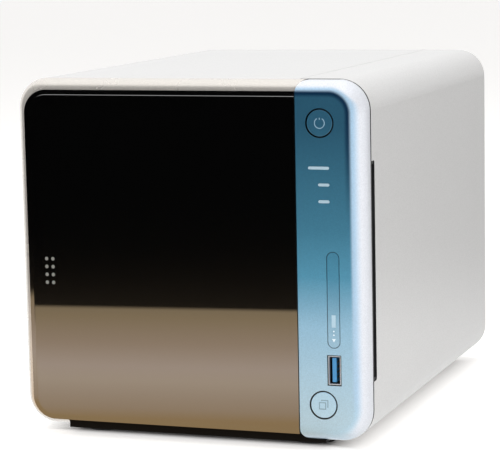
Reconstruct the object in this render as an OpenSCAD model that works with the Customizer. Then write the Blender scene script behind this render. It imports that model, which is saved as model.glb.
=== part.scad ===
// Desktop network storage unit with four vertical drive trays behind a sliding cover.
// Frame: X to the right, Y from the door to the rear, Z up. The origin is under the centre of
// the case, on the surface that the feet stand on. All sizes are in millimetres.

/* [Case] */
// Width across the side walls
case_w = 170; // [168:1:190]
// Depth from the door's face to the rear edge
case_d = 226; // [222:1:260]
// Height of the case above its feet
case_h = 163.5; // [160:0.5:190]
// Radius of the four long corners
corner_r = 14; // [12:0.5:16]
// Wall of the outer covers
wall_t = 2.4; // [2:0.1:2.8]
// Gap between neighbouring covers
seam_gap = 0.3; // [0.2:0.05:0.5]
// Open shadow line in front of the right cover
shadow_gap = 1.2; // [0.8:0.1:1.6]
// Depth of the front mouldings, from the door's face to the covers
front_depth = 8; // [7.5:0.1:9]
// Length of the inner lip of the bottom seam, from the right wall
low_lip_w = 17; // [16:0.5:20]

/* [Control panel] */
// Width of the control panel
panel_w = 32.5; // [31:0.5:36]
// Wall of the control panel
panel_t = 2.2; // [1.8:0.1:2.6]
// Rounding along the panel's outer edges
panel_edge_r = 6.8; // [5:0.1:6.9]
// Radius of the panel's two corners beside the door
panel_corner_r = 5; // [3:0.5:6]
// Distance of both buttons from the right wall
button_inset = 21; // [19:0.5:21.5]
// Diameter of the power and copy buttons
button_d = 12; // [10:0.5:13]
// Ring gap around a button
button_gap = 0.45; // [0.3:0.05:0.6]
// Travel of a button
button_travel = 0.8; // [0.5:0.1:1]
// Depth of the power button's centre below the case top
power_drop = 19; // [17:0.5:22]
// Height of the copy button's centre above the case bottom
copy_rise = 17.1; // [16:0.1:20]
// Distance of the indicator column from the right wall
indicator_inset = 15.7; // [14.5:0.1:16.5]
// Depth of the first status light below the case top
status_drop = 39; // [37:0.5:42]
// Spacing of the status lights
status_pitch = 7.5; // [6:0.5:9]
// Length of the progress window
progress_h = 43.2; // [34:0.2:46]
// Width of the progress window
progress_w = 5.4; // [4.6:0.2:6.4]
// Height of the progress window's centre above the case bottom
progress_rise = 65.2; // [64:0.2:72]
// Height of the front port's centre above the case bottom
usb_rise = 33.2; // [32:0.2:36]
// Height of the air slot in the right cover
air_slot_h = 100; // [80:0.5:110]
// Width of the air slot
air_slot_w = 5; // [3.5:0.5:6]

/* [Door] */
// Thickness of the door panel
door_t = 2.6; // [2.5:0.05:2.8]
// Width of the sloped band along the door's front edge
door_edge_r = 2.4; // [1.5:0.1:3]
// How far that band falls back at the door's edge
door_edge_drop = 0.5; // [0.3:0.05:1]
// Radius of the door's two left corners
door_corner_r = 11; // [8:0.5:13]
// Frame left showing beside and above the door
door_rim = 5; // [4:0.5:5.5]
// Frame left showing below the door
door_rim_low = 3; // [2:0.5:4]
// Sideways travel that unlocks the door
door_shift = 12; // [8:0.5:13]
// Diameter of the door's four studs
stud_d = 5; // [4:0.5:5]
// Diameter of a grip dot
dot_d = 1.7; // [1.2:0.1:2.2]
// Spacing of the two dot columns
dot_pitch_x = 3.2; // [2.6:0.1:4]
// Spacing of the four dot rows
dot_pitch_z = 3.73; // [2.8:0.01:4.5]
// Distance of the dots' middle from the door's left edge
dot_inset = 10.9; // [9:0.1:16]

/* [Drive bays] */
// Spacing of the four bays
bay_pitch = 30.5; // [30.5:0.1:31]
// Height of a tray's front
tray_h = 124; // [122:0.5:126]
// Thickness of a drive
drive_w = 26.1; // [24:0.1:26.1]
// Height of a drive on its edge
drive_h = 101.6; // [100:0.1:101.6]
// Length of a drive
drive_l = 147; // [140:0.5:147]
// Sheet steel of the cage
cage_t = 1; // [0.8:0.1:1.2]
// Thickness of a tray's front
tray_front_t = 6; // [5.5:0.1:6.5]
// Length of a tray's lever
lever_l = 84; // [70:1:88]
// Width of a tray's lever
lever_w = 15.6; // [12:0.2:16]

/* [Fan] */
// Side of the square fan
fan_size = 120; // [120:1:120]
// Thickness of the fan
fan_t = 25; // [20:0.5:25]
// Diameter of the fan's air duct
fan_bore = 116; // [114:0.5:116]
// Diameter of the rotor's hub
hub_d = 41; // [36:0.5:44]
// Gap between the blade tips and the duct
tip_gap = 1.2; // [0.8:0.1:2]
// Number of blades
blade_count = 7; // [5:1:9]
// Diameter of the rotor's shaft
shaft_d = 3; // [2:0.5:4]

/* [Base] */
// Height of the feet below the case
foot_h = 4.5; // [4:0.25:8]
// Diameter of a rubber foot
foot_d = 18; // [14:0.5:18]
// Distance of a foot's centre from the middle, across
foot_x = 52; // [46:0.5:54]
// Distance of a foot's centre from the front and rear edges
foot_y_inset = 22.5; // [20:0.5:28]

/* [Boards] */
// Thickness of the circuit boards
board_t = 1.6; // [1.2:0.1:1.8]
// Height of the mainboard's standoffs
standoff_h = 3; // [2.6:0.1:3.2]
// Thickness of the back panel's sheet
back_t = 1.5; // [1.2:0.1:1.8]
// Depth of the back panel inside the rear edge
back_recess = 2.5; // [2.2:0.1:3]

/* [Hidden] */
$fn = 64;

white = [0.84, 0.84, 0.85];
panel_blue = [0.22, 0.45, 0.58];
gloss_black = [0.02, 0.02, 0.02];
dark_plastic = [0.07, 0.07, 0.08];
steel = [0.72, 0.73, 0.74];
board_green = [0.05, 0.22, 0.12];
usb_blue = [0.07, 0.28, 0.6];
rubber = [0.05, 0.05, 0.05];

fit = 0.05;              // running clearance of a shaft or stud, on the radius
slip = 0.2;              // clearance of parts that plug together
part_gap = 0.3;          // air between parts that move past each other
overcut = 1;             // how far a cutting tool runs past the face it cuts

// Faces of the case
front_y = -case_d / 2;
rear_y = case_d / 2;
seam_y = front_y + front_depth;
left_x = -case_w / 2;
right_x = case_w / 2;
bottom_z = foot_h;
top_z = foot_h + case_h;
mid_z = (bottom_z + top_z) / 2;
split_x = right_x - panel_w;
low_split_x = right_x - low_lip_w;
inner_floor_z = bottom_z + wall_t;
inner_top_z = top_z - wall_t;
inner_right_x = right_x - wall_t;

// Door
door_x0 = left_x + door_rim;
door_x1 = split_x - seam_gap;
door_z0 = bottom_z + door_rim_low;
door_z1 = top_z - door_rim;
door_back_y = front_y + door_t;
crease = [0.25, 0.12];   // width and depth of the step between the door's face and its band

// Bezel and front frame
bezel_y0 = door_back_y + part_gap;
edge_land = 0.1;         // straight band left behind the bezel's rounding
bezel_edge_r = seam_y - bezel_y0 - edge_land;
frame_t = 5;
frame_y1 = seam_y + frame_t;
frame_inset = wall_t + slip;

// Drive bays and cage
bay_count = 4;
bay_cx = (left_x + wall_t + split_x) / 2;
bay_cz = (door_z0 + door_z1) / 2;
bay_x0 = bay_cx - bay_count * bay_pitch / 2;
cage_in_w = bay_count * bay_pitch + 2 * part_gap;
cage_in_h = tray_h + 1;
cage_y0 = frame_y1;
tray_y0 = seam_y + 2;
drive_gap_y = 8;         // from a tray's front to its drive
drive_y0 = tray_y0 + tray_front_t + drive_gap_y;
drive_y1 = drive_y0 + drive_l;
socket_l = 8;            // sata socket that shows between drive and board
backplane_y = drive_y1 + socket_l;
cage_x0 = bay_cx - cage_in_w / 2 - cage_t;
cage_x1 = bay_cx + cage_in_w / 2 + cage_t;
cage_z0 = bay_cz - cage_in_h / 2 - cage_t;
cage_z1 = bay_cz + cage_in_h / 2 + cage_t;

// Mouth of the bezel around the bays
mouth_gap = 1.2;
mouth_x0 = bay_cx - cage_in_w / 2 - 0.4;
mouth_x1 = bay_cx + cage_in_w / 2 + 0.4;
mouth_z0 = bay_cz - cage_in_h / 2 - mouth_gap;
mouth_z1 = bay_cz + cage_in_h / 2 + mouth_gap;

// Rails, retainers and guides of a tray
rail_h = 4;
retainer_h = 3.2;
drive_z0 = bay_cz - drive_h / 2;
drive_z1 = bay_cz + drive_h / 2;
retainer_gap = 0.3;
rail_in = drive_h / 2 + retainer_gap + retainer_h + slip;   // from the bay's middle to a rail
guide_in = rail_in + rail_h + part_gap;                     // from the bay's middle to a guide
drive_side_x = 2.2;      // from the bay's left side to its drive
lever_pin_d = 3;
lever_pivot_y = tray_y0 + 2;
lever_z0 = bay_cz - lever_l / 2 - 10;
lever_barrel_d = 6;
lever_pivot_z = lever_z0 + lever_barrel_d / 2;

// Latch bars and studs
bar_web = 1.5;           // bar above and below a stud
bar_h = stud_d + 2 * bar_web;
bar_t = 2;
bar_end = 6;             // bar past its outer studs
stud_x = [mouth_x0 + door_shift + bar_end, mouth_x1 - 2 * bar_end];
stud_z = [(door_z0 + mouth_z0) / 2, (door_z1 + mouth_z1) / 2];
stud_len = bezel_y0 - door_back_y + (seam_y - bezel_y0) + bar_t;

// Controls
button_x = right_x - button_inset;
indicator_x = right_x - indicator_inset;
power_z = top_z - power_drop;
copy_z = bottom_z + copy_rise;
progress_z = bottom_z + progress_rise;
usb_z = bottom_z + usb_rise;
air_slot_z = mid_z - 4.8;
air_z0 = air_slot_z - air_slot_h / 2;
air_z1 = air_slot_z + air_slot_h / 2;
air_slot_r = 1.5;
cover_y0 = seam_y + shadow_gap;
air_y1 = cover_y0 + air_slot_w;
panel_in_y = front_y + panel_t;
front_board_y = seam_y + 3;
switch_h = 3.5;
plunger_h = 0.8;
flange_t = 1.2;
panel_boss_d = 5;
panel_boss_x = [split_x + 5.5, right_x - 7.5];
panel_boss_z = [bottom_z + 27, mid_z + 2, top_z - 30];

// Back panel, fan and rear ports
back_y0 = rear_y - back_recess - back_t;
back_y1 = back_y0 + back_t;
fan_y0 = back_y0 - fan_t;
fan_hole_pitch = fan_size - 15;
motor_y = back_y0 - 4;   // front face of the fan's motor mount
port_y1 = back_y1 + 1;
board_x0 = cage_x1 + standoff_h;
board_x1 = board_x0 + board_t;
board_y0 = -70;
board_y1 = back_y0 - 1;
board_z0 = bay_cz - 65;
board_z1 = bay_cz + 65;
lan_z = [bay_cz + 4, bay_cz - 14];
rear_usb_z = [bay_cz + 25, bay_cz - 35];
hdmi_z = bay_cz + 44;
dc_z = bay_cz - 54;
reset_z = bay_cz + 57;
lan_size = [13.4, 21.5, 16];
usb_stack = [15.6, 17.5, 13.4];
hdmi_size = [5.8, 12, 15];
dc_size = [11, 14, 9];
reset_x = board_x1 + 4;

// ---------- shared shapes ----------

// Extrudes a drawing in the XZ plane from y0 to y1.
module slab(y0, y1) {
    translate([0, y1, 0]) rotate([90, 0, 0]) linear_extrude(y1 - y0) children();
}

// Rectangle in a drawing from its two corners.
module rect(x0, x1, z0, z1) {
    translate([x0, z0]) square([x1 - x0, z1 - z0]);
}

// Rounded rectangle in a drawing, with true arcs.
module round_rect(x0, x1, z0, z1, r) {
    rect(x0 + r, x1 - r, z0, z1);
    rect(x0, x1, z0 + r, z1 - r);
    for (x = [x0 + r, x1 - r], z = [z0 + r, z1 - r]) translate([x, z]) circle(r);
}

// Outline of the case, drawn inset by the given amount.
module case_outline(inset) {
    round_rect(left_x + inset, right_x - inset, bottom_z + inset, top_z - inset, corner_r - inset);
}

// Block from its lowest to its highest corner.
module block(a, b) {
    translate(a) cube(b - a);
}

// Cylinder along Y from y0 to y1 at [x, z].
module rod_y(x, z, d, y0, y1) {
    translate([x, y1, z]) rotate([90, 0, 0]) cylinder(d = d, h = y1 - y0);
}

// Quarter disc in the first quadrant.
module quarter(r) {
    intersection() {
        circle(r);
        square(r);
    }
}

// One quadrant of a rounded block whose front edge falls back by d over a width w, along the
// given drawing: its x runs outwards and its y forwards.
module edge_quadrant(w2, h2, corner, w, d, y0, y1) {
    translate([0, y0 + d, h2 - w]) rotate([0, -90, 180]) linear_extrude(w2 - corner) children();
    translate([w2 - w, y0 + d, 0]) linear_extrude(h2 - corner) mirror([0, 1]) children();
    translate([w2 - corner, y0 + d, h2 - corner]) rotate([90, 0, 0]) rotate_extrude(angle = 90) {
        square([corner - w, d]);
        translate([corner - w, 0]) children();
    }
    slab(y0, y0 + d) {
        rect(0, w2 - corner, 0, h2 - w);
        rect(w2 - corner, w2 - w, 0, h2 - corner);
    }
    slab(y0 + d, y1) {
        rect(0, w2 - corner, 0, h2);
        rect(w2 - corner, w2, 0, h2 - corner);
        translate([w2 - corner, h2 - corner]) quarter(corner);
    }
}

// Rounded block from y0 to y1, its front edge shaped by the given drawing, in true surfaces.
module edged_block(x0, x1, z0, z1, corner, w, d, y0, y1) {
    translate([(x0 + x1) / 2, 0, (z0 + z1) / 2])
        for (a = [0, 1], b = [0, 1]) mirror([a, 0, 0]) mirror([0, 0, b])
            edge_quadrant((x1 - x0) / 2, (z1 - z0) / 2, corner, w, d, y0, y1) children();
}

// Rounded block with its front edge rounded by r.
module cushion(x0, x1, z0, z1, corner, r, y0, y1) {
    edged_block(x0, x1, z0, z1, corner, r, r, y0, y1) quarter(r);
}

// Drawing of the area that the control panel takes, grown by the given amount.
module panel_outline(grow) {
    round_rect(split_x - grow, right_x + 20, bottom_z - grow, top_z + grow, panel_corner_r + grow);
}

cross = [3.1, 0.7, 0.9]; // length, width and depth of a screw's cross recess

// Pan head screw along Y: its domed head lies behind y, its shank runs forward.
module screw_y(x, z, y, head_d, head_h, shank_d, shank_l) {
    dome = 0.55 * head_h;
    dome_r = (pow(head_d / 2, 2) + dome * dome) / (2 * dome);
    translate([x, y, z]) {
        difference() {
            intersection() {
                rod_y(0, 0, head_d, 0, head_h);
                translate([0, head_h - dome_r, 0]) sphere(dome_r);
            }
            for (a = [0, 90]) rotate([0, a, 0])
                block([-cross[0] / 2, head_h - cross[2], -cross[1] / 2],
                      [cross[0] / 2, head_h + overcut, cross[1] / 2]);
        }
        rod_y(0, 0, shank_d, -shank_l, 0);
    }
}

// ---------- outer covers ----------

shell_boss_x = [bay_cx - 45, bay_cx + 45];
cover_boss_z = [mid_z - 46, mid_z + 46];
boss_d = 8;
boss_l = 10;
screw_d = 3;
boss_lift = 3.5;         // from a wall to a boss's middle

shell_boss_z = [inner_floor_z + boss_lift, inner_top_z - boss_lift];
shell_bosses = [for (x = shell_boss_x, z = shell_boss_z) [x, z]];
cover_bosses = [for (z = cover_boss_z) [inner_right_x - boss_lift, z]];

// Screw bosses inside the covers' rear edges, which the back panel is screwed to.
module bosses(places) {
    for (p = places) difference() {
        rod_y(p[0], p[1], boss_d, back_y0 - boss_l, back_y0);
        rod_y(p[0], p[1], screw_d, back_y0 - boss_l + 1, back_y0 + overcut);
    }
}

// Air inlets in the bottom wall, in rows across the case.
module floor_vents() {
    slot = [26, 3];
    for (col = [0 : 2], row = [0 : 9])
        translate([bay_cx - 53 + col * 40, -50 + row * 9, bottom_z - overcut])
            cube([slot[0], slot[1], wall_t + 2 * overcut]);
}

cage_post_x = [bay_cx - 50, bay_cx + 50];
cage_post_y = [cage_y0 + 14, cage_y0 + 150];

// Left side, top and floor in one folded shell, with the posts that carry the drive cage.
module left_shell() color(white) {
    lip_t = 1.2;
    lip_y0 = frame_y1 + 0.5;
    lip_y1 = back_y0 - 1;
    difference() {
        slab(seam_y + seam_gap, rear_y) difference() {
            case_outline(0);
            case_outline(wall_t);
            rect(split_x - seam_gap / 2, right_x + overcut, mid_z, top_z + overcut);
            rect(low_split_x - seam_gap / 2, right_x + overcut, bottom_z - overcut, mid_z);
        }
        floor_vents();
    }
    block([split_x - 4, lip_y0, inner_top_z - lip_t], [split_x + 5, lip_y1, inner_top_z]);
    block([low_split_x - 4, lip_y0, inner_floor_z], [low_split_x + 2, lip_y1, inner_floor_z + lip_t]);
    bosses(shell_bosses);
    for (x = cage_post_x, y = cage_post_y)
        translate([x, y, inner_floor_z]) cylinder(d = 9, h = cage_z0 - inner_floor_z);
}

// Right wall that wraps over the top as far as the panel, with the air slot at its front edge.
module right_cover() color(white) {
    difference() {
        slab(cover_y0, rear_y) difference() {
            case_outline(0);
            case_outline(wall_t);
            rect(left_x - overcut, split_x + seam_gap / 2, mid_z, top_z + overcut);
            rect(left_x - overcut, low_split_x + seam_gap / 2, bottom_z - overcut, mid_z);
        }
        plate_x(inner_right_x - overcut, right_x + overcut)
            round_rect(seam_y - 2 * air_slot_r, air_y1, air_z0, air_z1, air_slot_r);
    }
    bosses(cover_bosses);
}

// ---------- front mouldings ----------

// White frame around the door, with slots in which the door's studs slide.
module front_bezel() color(white) difference() {
    cushion(left_x, right_x, bottom_z, top_z, corner_r, bezel_edge_r, bezel_y0, seam_y);
    slab(bezel_y0 - overcut, seam_y + overcut) {
        panel_outline(seam_gap / 2);
        rect(mouth_x0, mouth_x1, mouth_z0, mouth_z1);
        for (x = stud_x, z = stud_z) stud_slot(x, z);
        rect(-rail_x - seam_gap / 2, split_x + 2 * panel_corner_r, bottom_z - overcut,
             skirt_z1 + seam_gap / 2);
    }
}

// Drawing of the slot that one stud slides in.
module stud_slot(x, z) {
    d = stud_d + 2 * part_gap;
    rect(x - door_shift, x, z - d / 2, z + d / 2);
    for (s = [0, door_shift]) translate([x - s, z]) circle(d = d);
}

panel_side_t = 1.6;      // wall beside the door

// Blue metallic panel: a thin shell with rounded outer edges, bosses and holes.
module control_panel() color(panel_blue) difference() {
    union() {
        intersection() {
            difference() {
                cushion(left_x, right_x, bottom_z, top_z, corner_r, panel_edge_r, front_y, seam_y);
                cushion(left_x + panel_t, right_x - panel_t, bottom_z + panel_t, top_z - panel_t,
                        corner_r - panel_t, panel_edge_r - panel_t, panel_in_y, seam_y + overcut);
            }
            slab(front_y - overcut, seam_y) panel_outline(-seam_gap / 2);
        }
        slab(panel_in_y, seam_y) intersection() {
            difference() {
                panel_outline(-seam_gap / 2);
                panel_outline(-seam_gap / 2 - panel_side_t);
            }
            case_outline(panel_t);
            rect(split_x, split_x + panel_corner_r, bottom_z, top_z);
        }
        for (x = panel_boss_x, z = panel_boss_z) rod_y(x, z, panel_boss_d, panel_in_y, front_board_y);
    }
    slab(front_y - overcut, panel_in_y + overcut) {
        for (z = [power_z, copy_z]) translate([button_x, z]) circle(d = button_d + 2 * button_gap);
        pill(progress_w + 0.4, progress_h + 0.4);
        round_rect(indicator_x - usb_mouth[0] / 2, indicator_x + usb_mouth[0] / 2,
                   usb_z - usb_mouth[1] / 2, usb_z + usb_mouth[1] / 2, 0.5);
        for (k = [0 : 2]) status_bar(k, 0.05);
    }
    for (x = panel_boss_x, z = panel_boss_z) rod_y(x, z, 2, front_board_y - 6, front_board_y + overcut);
}

usb_body = [5.7, 13.1];
usb_mouth = [usb_body[0] + 2 * part_gap, usb_body[1] + 2 * part_gap];

// Drawing of the progress window.
module pill(w, h) {
    x = indicator_x;
    z = progress_z;
    rect(x - w / 2, x + w / 2, z - (h - w) / 2, z + (h - w) / 2);
    for (s = [-1, 1]) translate([x, z + s * (h - w) / 2]) circle(d = w);
}

status_bar_w = [9.8, 5.2, 5.2];
status_bar_h = 1.3;
status_right = 1.1;      // from the indicator column to the bars' right ends

// Drawing of one status light, right aligned, grown by the given amount.
module status_bar(k, grow) {
    x1 = indicator_x - status_right;
    z = top_z - status_drop - k * status_pitch;
    r = status_bar_h / 2 + grow;
    rect(x1 - status_bar_w[k] + status_bar_h / 2, x1 - status_bar_h / 2, z - r, z + r);
    for (x = [x1 - status_bar_w[k] + status_bar_h / 2, x1 - status_bar_h / 2]) translate([x, z]) circle(r);
}

// Progress window, clipped behind the panel by its flange.
module progress_lens() color(panel_blue) {
    slab(front_y, panel_in_y) pill(progress_w, progress_h);
    slab(panel_in_y, panel_in_y + 1) pill(progress_w + 2.4, progress_h + 2.4);
}

// Three light pipes from the panel's face to the lamps on the front board.
module status_lenses() color("white")
    for (k = [0 : 2]) slab(front_y, front_board_y - 1.1) status_bar(k, 0);

window_x0 = split_x + 2;
window_x1 = inner_right_x - 1.6;
window_z0 = bottom_z + 11.5;
window_z1 = top_z - 11;

lip_inset = 0.4;         // from the covers' outer faces to the frame's lip
lip_gap = 0.1;           // air between the frame and the right cover
liner_wall = 0.5;        // liner between the groove and the slot's rear end
groove_depth = 1.8;
groove_y = [seam_y + 2.9, air_y1 - lip_gap - liner_wall];
slit_count = 5;
slit_rib = 2;

// Black lip in the gap before the right cover, and the liner in its air slot.
module frame_trim() {
    slab(seam_y, cover_y0 - lip_gap) difference() {
        case_outline(lip_inset);
        case_outline(frame_inset + 1);
        rect(left_x, split_x + 1, mid_z, top_z);
        rect(left_x, low_split_x + 1, bottom_z, mid_z);
    }
    plate_x(window_x1, right_x - lip_inset) intersection() {
        round_rect(seam_y - 2 * air_slot_r, air_y1 - lip_gap, air_z0 + lip_gap, air_z1 - lip_gap,
                   air_slot_r - lip_gap);
        rect(seam_y, air_y1, air_z0, air_z1);
    }
}

// Groove along the liner, with slits that let the air through.
module air_groove() {
    z0 = air_z0 + 1.5;
    pitch = (air_slot_h - 3 + slit_rib) / slit_count;
    plate_x(right_x - lip_inset - groove_depth, right_x) rect(groove_y[0], groove_y[1], z0, air_z1 - 1.5);
    for (k = [0 : slit_count - 1]) plate_x(window_x1 - overcut, right_x)
        rect(groove_y[0], groove_y[1], z0 + k * pitch, z0 + (k + 1) * pitch - slit_rib);
}

// Black inner frame that plugs into the covers and carries bezel, panel, cage and latch bars.
module front_frame() color(dark_plastic) difference() {
    union() {
        slab(seam_y, frame_y1) difference() {
            case_outline(frame_inset);
            rect(cage_x0 + cage_t, cage_x1 - cage_t, cage_z0 + cage_t, cage_z1 - cage_t);
            round_rect(window_x0, window_x1, window_z0, window_z1, 2);
        }
        frame_trim();
    }
    air_groove();
    for (z = stud_z) block(
        [stud_x[0] - door_shift - bar_end - part_gap, seam_y - overcut, z - bar_h / 2 - part_gap],
        [stud_x[1] + bar_end + part_gap, seam_y + bar_t + part_gap, z + bar_h / 2 + part_gap]);
}

// Two sliding bars behind the bezel that the door's studs plug into.
module latch_bars() color(steel) for (z = stud_z) difference() {
    slab(seam_y + 0.1, seam_y + 0.1 + bar_t)
        round_rect(stud_x[0] - bar_end, stud_x[1] + bar_end, z - bar_h / 2, z + bar_h / 2, 2);
    for (x = stud_x) rod_y(x, z, stud_d + 2 * fit, seam_y - overcut, seam_y + bar_t + overcut);
}

// ---------- door ----------

dot_x = [for (s = [-0.5, 0.5]) door_x0 + dot_inset + s * dot_pitch_x];
dot_z = [for (k = [0 : 3]) bay_cz - 6.8 + (k - 1.5) * dot_pitch_z];
dot_depth = 0.6;

// Gloss black panel with a sloped band along three sides, and four studs on its back.
module door_panel() color(gloss_black) {
    difference() {
        edged_block(door_x0, door_x1 + 30, door_z0, door_z1, door_corner_r, door_edge_r, door_edge_drop,
                    front_y, door_back_y)
            polygon([[0, 0], [door_edge_r, 0], [crease[0], door_edge_drop - crease[1]], [0, door_edge_drop]]);
        block([door_x1, front_y - overcut, door_z0 - overcut],
              [door_x1 + 40, door_back_y + overcut, door_z1 + overcut]);
        for (x = dot_x, z = dot_z) rod_y(x, z, dot_d, front_y - overcut, front_y + dot_depth);
    }
    for (x = stud_x, z = stud_z) rod_y(x, z, stud_d, door_back_y, door_back_y + stud_len);
}

// Ribbed stiffener on the door's back, small enough to slide sideways inside the bezel's mouth.
module door_carrier() color(dark_plastic) slab(door_back_y, door_back_y + 3) {
    x0 = mouth_x0 + door_shift + 1;
    x1 = mouth_x1 - 1;
    z0 = mouth_z0 + 1;
    z1 = mouth_z1 - 1;
    rib = 3;
    cols = 4;
    rows = 4;
    cell_w = (x1 - x0 - rib) / cols;
    cell_h = (z1 - z0 - rib) / rows;
    difference() {
        rect(x0, x1, z0, z1);
        for (i = [0 : cols - 1], j = [0 : rows - 1])
            rect(x0 + rib + i * cell_w, x0 + (i + 1) * cell_w, z0 + rib + j * cell_h, z0 + (j + 1) * cell_h);
    }
}

// Two columns of inlaid dots that mark where a finger pushes the door.
module grip_dots() color("silver")
    for (x = dot_x, z = dot_z) rod_y(x, z, dot_d, front_y, front_y + dot_depth);

// ---------- controls behind the panel ----------

cap_edge_r = 0.35;       // rounding of a button's rim

// Button cap from its face back to its flange, rounded along the rim.
module button_cap(z, y0, y1) {
    r = button_d / 2;
    h = y1 - y0;
    translate([button_x, y1, z]) rotate([90, 0, 0]) rotate_extrude() {
        square([r - cap_edge_r, h]);
        square([r, h - cap_edge_r]);
        translate([r - cap_edge_r, h - cap_edge_r]) quarter(cap_edge_r);
    }
}

// Button with its retaining flange and stem, reaching towards its switch.
module button(z) {
    stem_end = front_board_y - switch_h - plunger_h - button_travel - 0.1;
    flange_y = panel_in_y + part_gap;
    color(panel_blue) {
        button_cap(z, front_y, flange_y);
        rod_y(button_x, z, button_d + 2.6, flange_y, flange_y + flange_t);
        rod_y(button_x, z, 5, flange_y + flange_t, stem_end);
    }
}

module power_button() button(power_z);

module copy_button() button(copy_z);

// Front board with the switches, the status lamps and its screws' holes.
module front_board() color(board_green) {
    y1 = front_board_y + board_t;
    difference() {
        slab(front_board_y, y1) rect(window_x0 + 1, window_x1 - 1, window_z0 + 1, window_z1 - 1);
        for (x = panel_boss_x, z = panel_boss_z) rod_y(x, z, 2.2, front_board_y - overcut, y1 + overcut);
    }
    for (z = [power_z, copy_z]) {
        block([button_x - 3, front_board_y - switch_h, z - 3], [button_x + 3, front_board_y, z + 3]);
        rod_y(button_x, z, 3.5, front_board_y - switch_h - plunger_h, front_board_y - switch_h);
    }
    for (k = [0 : 2]) {
        x = indicator_x - status_right - status_bar_w[k] / 2;
        z = top_z - status_drop - k * status_pitch;
        block([x - 1.5, front_board_y - 0.8, z - 0.8], [x + 1.5, front_board_y, z + 0.8]);
    }
}

// Folded steel shell of one type A receptacle, mouth towards -Y.
module usb_shell(w, h, l) {
    t = 0.3;
    difference() {
        slab(0, l) rect(-w / 2, w / 2, -h / 2, h / 2);
        slab(-overcut, l - 1.5) rect(-w / 2 + t, w / 2 - t, -h / 2 + t, h / 2 - t);
    }
}

// Contact tongue of one type A receptacle, seated on the shell's closed end.
module usb_tongue(h, l) {
    translate([-0.4, 0, 0]) slab(1.2, l - 1.5) rect(-0.95, 0.95, -h / 2 + 1, h / 2 - 1);
}

usb_l = front_board_y - front_y - 0.3;

module front_usb_shell() color(steel) translate([indicator_x, front_board_y - usb_l, usb_z])
    usb_shell(usb_body[0], usb_body[1], usb_l);

module front_usb_tongue() color(usb_blue) translate([indicator_x, front_board_y - usb_l, usb_z])
    usb_tongue(usb_body[1], usb_l);

// ---------- drive cage ----------

// Steel tube around the bays, with side windows and the mainboard's standoffs.
module drive_cage() color(steel) {
    difference() {
        slab(cage_y0, backplane_y) difference() {
            rect(cage_x0, cage_x1, cage_z0, cage_z1);
            rect(cage_x0 + cage_t, cage_x1 - cage_t, cage_z0 + cage_t, cage_z1 - cage_t);
        }
        for (k = [0 : 4])
            block([cage_x0 - overcut, cage_y0 + 12 + k * 30, cage_z0 + 22],
                  [cage_x0 + cage_t + overcut, cage_y0 + 32 + k * 30, cage_z1 - 22]);
        for (i = [0 : bay_count - 1], k = [0 : 3])
            block([bay_x0 + i * bay_pitch + 9, cage_y0 + 22 + k * 32, cage_z0 - overcut],
                  [bay_x0 + i * bay_pitch + 21, cage_y0 + 42 + k * 32, cage_z0 + cage_t + overcut]);
    }
    for (y = standoff_y, z = standoff_z)
        translate([cage_x1, y, z]) rotate([0, 90, 0]) cylinder(d = 6, h = standoff_h);
}

standoff_y = [board_y0 + 6, cage_y0 + 155];
standoff_z = [board_z0 + 6, board_z1 - 6];

// Plastic guides above and below the trays, with a rib between each pair of bays.
module bay_guides() color(dark_plastic) {
    y0 = tray_y0 + tray_front_t + 1;
    y1 = backplane_y - 1;
    rib_w = 1.2;
    rib_h = 6;
    for (s = [-1, 1]) translate([0, 0, bay_cz]) mirror([0, 0, s < 0 ? 1 : 0]) {
        block([cage_x0 + cage_t, y0, guide_in], [cage_x1 - cage_t, y1, cage_in_h / 2]);
        for (k = [1 : bay_count - 1])
            block([bay_x0 + k * bay_pitch - rib_w / 2, y0, guide_in - rib_h],
                  [bay_x0 + k * bay_pitch + rib_w / 2, y1, guide_in]);
    }
}

// Board across the cage's rear that the drives plug into, with air slots between them.
module backplane() color(board_green) difference() {
    slab(backplane_y, backplane_y + board_t) rect(cage_x0, cage_x1, cage_z0, cage_z1);
    slab(backplane_y - overcut, backplane_y + board_t + overcut)
        for (k = [0 : bay_count - 1], z = [cage_z0 + 20, cage_z0 + 92])
            rect(bay_x0 + k * bay_pitch + 13, bay_x0 + k * bay_pitch + 27, z, z + 14);
}

sata_z = bay_cz - 8;
sata_h = 43;
sata_w = 4.6;
sata_depth = 5;

module sata_sockets() color(dark_plastic) for (k = [0 : bay_count - 1]) {
    x = bay_x0 + k * bay_pitch + drive_side_x + 2.4;
    block([x, drive_y1 - sata_depth, sata_z - sata_h / 2], [x + sata_w, backplane_y, sata_z + sata_h / 2]);
}

// ---------- trays ----------

// Everything of one bay is drawn from the bay's left side, with the bay's middle at z = 0.
module in_bay(k) {
    translate([bay_x0 + k * bay_pitch, 0, bay_cz]) children();
}

tray_side = 0.4;         // gap between neighbouring tray fronts, on each side
rail_side = 0.8;         // from the bay's sides to a tray's rails
side_plate_t = 1.2;
pocket_floor = 0.3;      // air behind a closed lever

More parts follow.
